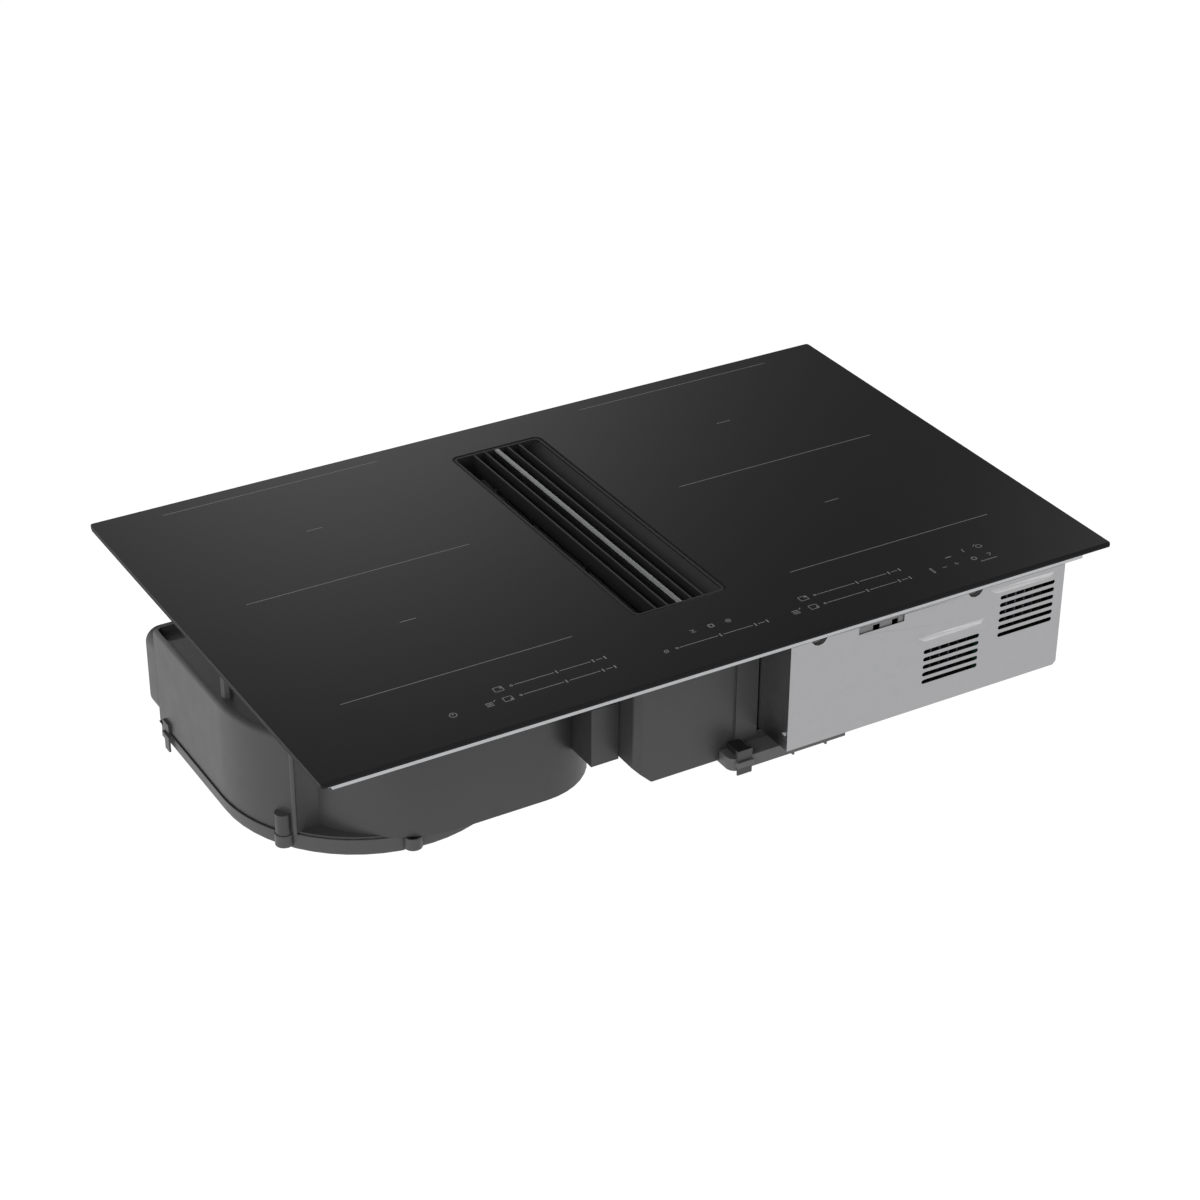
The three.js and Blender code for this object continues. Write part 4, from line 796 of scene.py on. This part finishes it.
def touch_signs():
    """The brighter small signs, simplified to strokes, rings and frames."""
    signs = [ring_mark(x, y, 1.25) for x, y in ZONE_DOTS]
    for x in MENU_SIGNS:
        signs += [bar_mark(x - 3.0, -219.4 + n * 2.4, x + 3.0, -219.4 + n * 2.4, 1.2) for n in (-1, 0, 1)]
        signs.append(bar_mark(x + 5.4, -216.6, x + 7.2, -215.0, 0.9))
    # left of the middle slider
    signs += [ring_mark(-57.5, -219.6, 2.4, 0.9), bar_mark(-59.6, -221.6, -55.4, -217.4, 0.8)]
    # over the middle slider
    signs += [
        bar_mark(-20.6, -199.4, -16.6, -199.4, 0.9),
        bar_mark(-16.8, -199.6, -20.4, -203.2, 0.9),
        bar_mark(-20.6, -203.4, -16.6, -203.4, 0.9),
        outline_mark(0.9, -201.2, 2.9, 2.9, 1.3),
        ring_mark(19.2, -201.2, 2.8, 1.1),
        bar_mark(17.4, -199.2, 21.2, -203.2, 0.8),
    ]
    # right of the right sliders
    signs += [bar_mark(234.9, -222.6 + n * 2.8, 234.9, -221.2 + n * 2.8, 2.4) for n in (0, 1, 2)]
    signs += [
        bar_mark(246.9, -219.4, 250.9, -219.4, 0.9),
        bar_mark(260.2, -205.6, 265.4, -205.6, 1.5),
        bar_mark(262.6, -217.2, 262.6, -221.2, 0.9),
        bar_mark(260.8, -219.2, 264.4, -219.2, 0.9),
        bar_mark(282.8, -199.6, 282.2, -204.4, 1.1),
        ring_mark(300.9, -202.4, 3.3, 0.9),
        bar_mark(295.6, -200.6, 299.4, -197.4, 0.8),
        ring_mark(282.9, -219.2, 3.1, 1.3),
        bar_mark(299.0, -217.4, 303.0, -217.4, 0.9),
        bar_mark(303.0, -217.4, 299.8, -221.6, 0.9),
        bar_mark(285.6, -227.2, 303.6, -227.2, 1.1),
    ]
    return signs


make_glass()
printed(zone_lines(), "zone_lines", print_grey)
printed(touch_lines(), "touch_lines", print_grey)
printed(touch_signs(), "touch_signs", print_bright)


# ------------------------------------------------------------------ CAD nodes with rounded edges

SHELL_CENTRE = (-243.5, 27.0)
SHELL_RADIUS = 146.0
LUG_BEARINGS = (214, 262)
LUG_REACH = 9.4  # round the lug's middle, which is on the shell's wall
LUG_FOOT_LEVEL = -198.9
LUG_FOOT_RAISE = 4.5
SEAL_FRONT = -258.0
SEAL_DRAWN_IN = 3.9
DECK_FLOOR = -100.0
DECK_FLOOR_RAISE = 14.0
BOX_FRONT = -242.0
HOOD_LEAST = 0.2  # how far a hood's face stands out from the box's front


def is_lug_foot(p):
    """On the underside of one of the lower cover's two screw lugs."""
    for degrees in LUG_BEARINGS:
        x = SHELL_CENTRE[0] + SHELL_RADIUS * math.cos(math.radians(degrees))
        y = SHELL_CENTRE[1] + SHELL_RADIUS * math.sin(math.radians(degrees))
        if math.hypot(p.x - x, p.y - y) < LUG_REACH and abs(p.z - LUG_FOOT_LEVEL) < 0.2:
            return True
    return False


def is_deck_floor(p):
    """On the floor of the pocket in the housing's deck, rear left."""
    return abs(p.z - DECK_FLOOR) < 0.2 and p.x < -330 and p.y > 140


def paint_hood_highlights(box):
    """The upper slopes of the two stamped hoods given a lighter copy of the box's zinc: painted highlight."""
    box.data.materials.append(hood_highlight_steel)
    for face in box.data.polygons:
        if face.center.y < (BOX_FRONT - HOOD_LEAST) * MM and face.normal.z > 0.3:
            face.material_index = 1


dress(
    "worktop_seal", "seal_strip", seal_foam_and_joint_shade, width=0.3,
    shifts=[(lambda p: p.y < SEAL_FRONT, (0, SEAL_DRAWN_IN, 0))],
)
dress("inlet_collar", "inlet_collar_skin", collar_black_and_clip_shade, width=0.25, whole_faces=False)
dress("inlet_grille", "grille_frame", grille_black, width=0.15, whole_faces=False)
dress("grille_centre_bar", "centre_bar", bar_silver, width=0.25)
dress("coil_tray", "tray_pan", tray_steel, width=0.5, segments=3)
# the hoods' upward faces take the lighter zinc as a painted highlight
paint_hood_highlights(dress("electronics_box", "box_shell", box_steel, width=0.3, whole_faces=False))
dress("spill_tray", "tray_body", tray_plastic, width=0.4)
dress(
    "fan_housing", "housing_body", black_plastic, width=0.5,
    shifts=[(is_deck_floor, (0, 0, DECK_FLOOR_RAISE))],
)
dress("outlet_spigot", "spigot_body", black_plastic, width=0.3)
dress(
    "lower_cover", "cover_body", cover_plastic, width=0.4,
    shifts=[(is_lug_foot, (0, 0, LUG_FOOT_RAISE))],
)
dress("cable_gland", "gland_body", black_plastic, width=0.3)
dress("impeller", "fan_wheel", fan_plastic, width=0)


# ------------------------------------------------------------------ pieces shaped here

DUCT_FRONT = -190.0
DUCT_EDGE_ROUND = 8.0


def edge_bevel(piece, test, width, segments):
    """Edges whose two ends pass the test rounded in edit mode."""
    pick_up(piece)
    bpy.ops.object.mode_set(mode="EDIT")
    bpy.ops.mesh.select_mode(type="EDGE")
    bpy.ops.mesh.select_all(action="DESELECT")
    bpy.ops.object.mode_set(mode="OBJECT")
    places = piece.data.vertices
    for edge in piece.data.edges:
        edge.select = all(test(places[v].co) for v in edge.vertices)
    bpy.ops.object.mode_set(mode="EDIT")
    bpy.ops.mesh.bevel(offset=width * MM, segments=segments, affect="EDGES")
    bpy.ops.object.mode_set(mode="OBJECT")


def make_duct():
    """The duct with its front left edge rounded wider than the rest."""
    duct = merged_copy("intake_duct", "duct_body")
    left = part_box("intake_duct")[0].x
    front, near = DUCT_FRONT * MM, 0.05 * MM
    edge_bevel(duct, lambda p: abs(p.x - left) < near and abs(p.y - front) < near, DUCT_EDGE_ROUND, 6)
    round_edges(duct, 0.6 * MM, 3)
    finish_piece(duct, black_plastic, "hob", ("intake_duct",))


def shape_step(piece, test, move=None, scale=None):
    """The faces that pass the test extruded, then moved or scaled."""
    bpy.ops.object.mode_set(mode="EDIT")
    select_faces(piece, test)
    bpy.ops.mesh.extrude_region_move()
    if scale:
        bpy.ops.transform.resize(value=scale)
    if move:
        bpy.ops.transform.translate(value=tuple(v * MM for v in move))
    bpy.ops.object.mode_set(mode="OBJECT")


def cuboid(name, x0, x1, y0, y1, z0, z1):
    """The blank that a piece is shaped from."""
    put_down()
    middle = ((x0 + x1) / 2 * MM, (y0 + y1) / 2 * MM, (z0 + z1) / 2 * MM)
    bpy.ops.mesh.primitive_cube_add(size=1, location=middle)
    blank = bpy.context.view_layer.objects.active
    blank.scale = ((x1 - x0) * MM, (y1 - y0) * MM, (z1 - z0) * MM)
    return fresh(name)


CLIP_TOP = -132.5
CLIP_BLOCK_BOTTOM = -141.4
CLIP_BLOCK_DEPTH = 2.6
CLIP_PLATE = 2.0
CLIP_SHOULDER = 2.0  # how far the plate hangs below the block before it narrows
CLIP_TONGUE_SHARE = 0.625  # the tongue's width over the plate's
CLIP_ARM_WALL = 1.4
CLIP_ARM_LENGTH = 16.5


def make_clip():
    """Block with a plate in front that narrows to the tongue, and an arm to the wall behind it."""
    low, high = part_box("tray_clip")
    front, bottom = low.y / MM, low.z / MM
    back = front + CLIP_PLATE
    clip = cuboid(
        "clip_body", low.x / MM, high.x / MM, back, back + CLIP_BLOCK_DEPTH, CLIP_BLOCK_BOTTOM, CLIP_TOP,
    )
    shape_step(clip, lambda c, n: n.y < -0.9, move=(0, -CLIP_PLATE, 0))
    shoulder = CLIP_BLOCK_BOTTOM - CLIP_SHOULDER
    for step in (
        {"move": (0, 0, -CLIP_SHOULDER)},
        {"scale": (CLIP_TONGUE_SHARE, 1, 1)},
        {"move": (0, 0, bottom - shoulder)},
    ):
        shape_step(clip, lambda c, n: n.z < -0.9 and c.y < (back - CLIP_PLATE / 4) * MM, **step)
    pick_up(clip)
    bpy.ops.object.mode_set(mode="EDIT")
    select_faces(clip, lambda c, n: n.y > 0.9 and c.z > CLIP_BLOCK_BOTTOM * MM)
    bpy.ops.mesh.inset(thickness=CLIP_ARM_WALL * MM)
    bpy.ops.mesh.extrude_region_move()
    bpy.ops.transform.translate(value=(0, CLIP_ARM_LENGTH * MM, 0))
    bpy.ops.object.mode_set(mode="OBJECT")
    round_edges(clip, 0.3 * MM, 2)
    finish_piece(clip, black_plastic, nodes["tray_clip"]["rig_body"], ("tray_clip",))
    # the clip's top faces and the arm behind its plate take the darker black: painted shade
    clip.data.materials.append(collar_black_and_clip_shade)
    for face in clip.data.polygons:
        if face.normal.z > 0.7 or face.center.y > (back + CLIP_PLATE) * MM:
            face.material_index = 1


def screw(name, place, axis, radius, height):
    """Pan head with a round socket, its underside at the place."""
    put_down()
    bpy.ops.mesh.primitive_cylinder_add(vertices=24, radius=radius * MM, depth=height * MM)
    top = Vector(axis)
    head = bpy.context.view_layer.objects.active
    head.rotation_mode = "QUATERNION"
    head.rotation_quaternion = Vector((0, 0, 1)).rotation_difference(top)
    head.location = (Vector(place) + top * (height / 2)) * MM
    head = fresh(name)
    bpy.ops.object.mode_set(mode="EDIT")
    select_faces(head, lambda c, n: n.dot(top) > 0.9)
    bpy.ops.mesh.inset(thickness=radius * 0.35 * MM)
    bpy.ops.transform.translate(value=tuple(top * height * 0.12 * MM))
    bpy.ops.mesh.inset(thickness=radius * 0.2 * MM)
    bpy.ops.mesh.extrude_region_move()
    bpy.ops.transform.translate(value=tuple(top * -height * 0.5 * MM))
    bpy.ops.object.mode_set(mode="OBJECT")
    round_edges(head, 0.16 * radius * MM, 2)
    finish_piece(head, screw_zinc, "hob")


NOTCH_FROM_LEFT = 30.8
NOTCH_FROM_RIGHT = 106.5
CUP_RADIUS = 9.3
CUP_DEPTH = 4.5
CUP_BEHIND_FRONT = 1.4
CUP_AXIS_ABOVE = 2.8  # over the box's top
CUP_DISH = (2.2, 1.2)  # inset and depth of the dished back
CUP_SHEET = 0.5


def notch_cup(x, top):
    """A dished cup behind one notch, cut off just under the box's top."""
    put_down()
    bpy.ops.mesh.primitive_cylinder_add(vertices=28, radius=CUP_RADIUS * MM, depth=CUP_DEPTH * MM)
    cup = bpy.context.view_layer.objects.active
    cup.rotation_euler = (math.radians(90), 0, 0)
    middle = BOX_FRONT + CUP_BEHIND_FRONT + CUP_DEPTH / 2
    cup.location = (x * MM, middle * MM, (top + CUP_AXIS_ABOVE) * MM)
    cup = fresh("cup")
    inset, dish = CUP_DISH
    bpy.ops.object.mode_set(mode="EDIT")
    select_faces(cup, lambda c, n: n.y > 0.9)
    bpy.ops.mesh.inset(thickness=inset * MM)
    bpy.ops.transform.translate(value=(0, dish * MM, 0))
    select_faces(cup, lambda c, n: n.y < -0.9)
    bpy.ops.mesh.delete(type="FACE")
    bpy.ops.mesh.select_all(action="SELECT")
    bpy.ops.mesh.bisect(plane_co=(0, 0, (top - 0.1) * MM), plane_no=(0, 0, 1), clear_outer=True)
    bpy.ops.object.mode_set(mode="OBJECT")
    use_modifier(cup, "SOLIDIFY", thickness=CUP_SHEET * MM, offset=-1)
    return cup


def make_notch_cups():
    """Dished backs of the two half-round notches in the box's top edge."""
    low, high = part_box("electronics_box")
    places = (low.x / MM + NOTCH_FROM_LEFT, high.x / MM - NOTCH_FROM_RIGHT)
    whole = join_all([notch_cup(x, high.z / MM) for x in places], "notch_cups")
    pick_up(whole)
    bpy.ops.object.mode_set(mode="EDIT")
    bpy.ops.mesh.select_all(action="SELECT")
    bpy.ops.mesh.normals_make_consistent(inside=False)
    bpy.ops.object.mode_set(mode="OBJECT")
    bpy.ops.object.shade_smooth_by_angle(angle=math.radians(40))
    finish_piece(whole, inner_grey, "hob")


JOINT_BOTTOM = -182.7
JOINT_TOP = -181.2
JOINT_PROUD = 0.5  # radius of the band's middle past the shell's
JOINT_SHEET = 1.6
JOINT_ARC = (179, 218)
JOINT_REAR_END = 177.5


def bearing_on_shell(p):
    """Degrees round the shell's centre, from +X."""
    return math.degrees(math.atan2(p.y - SHELL_CENTRE[1], p.x - SHELL_CENTRE[0])) % 360


def make_joint_shade_band():
    """A dark band in the joint between the shell and the lower cover, round the left side: painted shade
    standing for the shadow in the joint.
    """
    put_down()
    middle = (SHELL_CENTRE[0] * MM, SHELL_CENTRE[1] * MM, JOINT_BOTTOM * MM)
    bpy.ops.mesh.primitive_circle_add(vertices=120, radius=(SHELL_RADIUS + JOINT_PROUD) * MM, location=middle)
    band = fresh("joint_shade_band")
    start, end = JOINT_ARC
    select_points(band, lambda p: not start < bearing_on_shell(p) < end)
    bpy.ops.mesh.delete(type="VERT")
    # the arc's end at the side runs straight on to the rear
    select_points(band, lambda p: abs(p.y - SHELL_CENTRE[1]) < 0.5)
    bpy.ops.mesh.extrude_region_move()
    bpy.ops.transform.translate(value=(0, (JOINT_REAR_END - SHELL_CENTRE[1]) * MM, 0))
    bpy.ops.mesh.select_all(action="SELECT")
    bpy.ops.mesh.extrude_region_move()
    bpy.ops.transform.translate(value=(0, 0, (JOINT_TOP - JOINT_BOTTOM) * MM))
    bpy.ops.mesh.select_all(action="SELECT")
    bpy.ops.mesh.normals_make_consistent(inside=False)
    bpy.ops.object.mode_set(mode="OBJECT")
    use_modifier(band, "SOLIDIFY", thickness=JOINT_SHEET * MM, offset=0)
    round_edges(band, 0.2 * MM, 1)
    # the band's near-black stands for the shadow in the joint: painted shade
    finish_piece(band, seal_foam_and_joint_shade, "hob")


SLOT_LEFT = 137.0
SLOT_TOP = -15.2
# left, right, bottom, top of each plate, from the slot's upper left corner
SLOT_PLATES = (
    (-1.5, 52.5, -3.2, 0),
    (-1.5, 16.6, -9.0, -3.0),
    (24.3, 38.0, -9.0, -3.0),
    (45.0, 52.5, -9.0, -3.0),
)
SLOT_SHEET = 0.8
SLOT_BEHIND_FRONT = 1.5


def make_slot_backing():
    """Sheet behind the long slot in the box's front, with two small windows in it."""
    near = BOX_FRONT + SLOT_BEHIND_FRONT
    plates = []
    for x0, x1, z0, z1 in SLOT_PLATES:
        plate = cuboid(
            "plate", SLOT_LEFT + x0, SLOT_LEFT + x1, near, near + SLOT_SHEET, SLOT_TOP + z0, SLOT_TOP + z1,
        )
        shape_step(plate, lambda c, n: n.y > 0.9, scale=(0.94, 1, 0.9))
        shape_step(plate, lambda c, n: n.y > 0.9, move=(0, 0.6, 0))
        plates.append(plate)
    whole = join_all(plates, "slot_backing")
    round_edges(whole, 0.15 * MM, 1)
    finish_piece(whole, inner_grey, "hob")


WEB_BOTTOM = -180.1
WEB_TOP = -80.0
WEB_THICKNESS = 2.0
# from the shell's free edge to the spiral
WEB_PATH = (
    (-357.5, -65.2), (-352.0, -64.0), (-346.0, -63.0), (-340.0, -62.3), (-333.0, -62.2), (-329.5, -62.6),
)
BEAD_PLACE = (-357.6, -65.2)
BEAD_RADIUS = 2.3


def make_notch_web():
    """Wall between the shell's free edge and the spiral."""
    put_down()
    x0, y0 = WEB_PATH[0]
    bpy.ops.mesh.primitive_plane_add(size=1, location=(x0 * MM, y0 * MM, (WEB_BOTTOM + WEB_TOP) / 2 * MM))
    end = bpy.context.view_layer.objects.active
    end.rotation_euler = (0, math.radians(90), 0)
    end.scale = ((WEB_TOP - WEB_BOTTOM) * MM, WEB_THICKNESS * MM, 1)
    web = fresh("notch_web")
    bpy.ops.object.mode_set(mode="EDIT")
    bpy.ops.mesh.select_all(action="SELECT")
    for (xa, ya), (xb, yb) in zip(WEB_PATH[:-1], WEB_PATH[1:]):
        bpy.ops.mesh.extrude_region_move()
        bpy.ops.transform.translate(value=((xb - xa) * MM, (yb - ya) * MM, 0))
    bpy.ops.mesh.select_all(action="SELECT")
    bpy.ops.mesh.normals_make_consistent(inside=False)
    bpy.ops.object.mode_set(mode="OBJECT")
    round_edges(web, 0.4 * MM, 2)
    finish_piece(web, black_plastic, "hob")


def make_edge_bead():
    """The bead along the shell's free edge, with a small foot."""
    put_down()
    x, y = BEAD_PLACE
    bpy.ops.mesh.primitive_cylinder_add(
        vertices=20, radius=BEAD_RADIUS * MM, depth=(WEB_TOP - WEB_BOTTOM) * MM,
        location=(x * MM, y * MM, (WEB_BOTTOM + WEB_TOP) / 2 * MM),
    )
    bead = fresh("shell_edge_bead")
    bpy.ops.object.mode_set(mode="EDIT")
    select_faces(bead, lambda c, n: n.z < -0.9)
    bpy.ops.mesh.inset(thickness=0.5 * MM)
    bpy.ops.mesh.extrude_region_move()
    bpy.ops.transform.translate(value=(0, 0, -0.6 * MM))
    bpy.ops.object.mode_set(mode="OBJECT")
    round_edges(bead, 0.5 * MM, 2)
    finish_piece(bead, cover_plastic, "hob")


make_joint_shade_band()
make_slot_backing()
make_notch_web()
make_edge_bead()
make_duct()
make_clip()
make_notch_cups()
screw("box_screw_left", place=(62.2, -237.6, -109.0), axis=(-1, 0, 0), radius=2.4, height=1.5)


# ------------------------------------------------------------------ finishes of what stays as CAD made it

LEFT_BOARDS_TOP = -115.0 * MM
RIGHT_BOARD_TOP = -85.0 * MM
TOUCH_BOARD_TOP = 5.0 * MM
CARRIER_PLATE_TOP = -11.2 * MM
LACQUER = (0.02, 0.13, 0.055)
COMPONENTS = (0.05, 0.055, 0.06)

board_green = split_by_height("board_green", LEFT_BOARDS_TOP, LACQUER, COMPONENTS, spread=0.5)
board_right = split_by_height("board_right", RIGHT_BOARD_TOP, LACQUER, COMPONENTS, spread=0.5)
touch_green = split_by_height(
    "touch_green", TOUCH_BOARD_TOP, (0.02, 0.12, 0.05), (0.05, 0.05, 0.05), spread=0.5,
)
carrier = split_by_height("carrier", CARRIER_PLATE_TOP, (0.5, 0.51, 0.53), (0.035, 0.035, 0.038))
stator_mix = surfaced(
    "stator_mix", MOULDED, (0.34, 0.13, 0.05), spread=0.9, rough=0.45,
    scale=700, bump=0.0, depth=0.01, Metallic=0.5,
)


finish_of = {
    "filter_frame": filter_steel, "filter_baffles": filter_steel, "inlet_ring": black_plastic,
    "scroll_wall": black_plastic, "motor_rotor": motor_steel, "motor_shaft": motor_steel,
    "motor_bearing": motor_steel, "motor_base": fan_plastic, "motor_stator": stator_mix,
    "board_holder": black_plastic, "touch_board": touch_green, "mains_board": board_green,
    "power_board_left": board_green, "power_board_right": board_right, "terminal_block": fan_plastic,
    "heat_sink_left": heat_sink, "heat_sink_right": heat_sink,
}
for name in nodes:
    if name.startswith("blower"):
        finish_of[name] = fan_plastic
    if name.startswith("mica"):
        finish_of[name] = mica
    if name.startswith("ferrite"):
        finish_of[name] = carrier
    if name.startswith("coil_") and name != "coil_tray":
        low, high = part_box(name)
        centre = ((low.x + high.x) / 2, (low.y + high.y) / 2)
        finish_of[name] = winding_material(f"winding_{name}", centre)
for name, finish in finish_of.items():
    for holder in nodes[name].material_slots:
        holder.material = finish
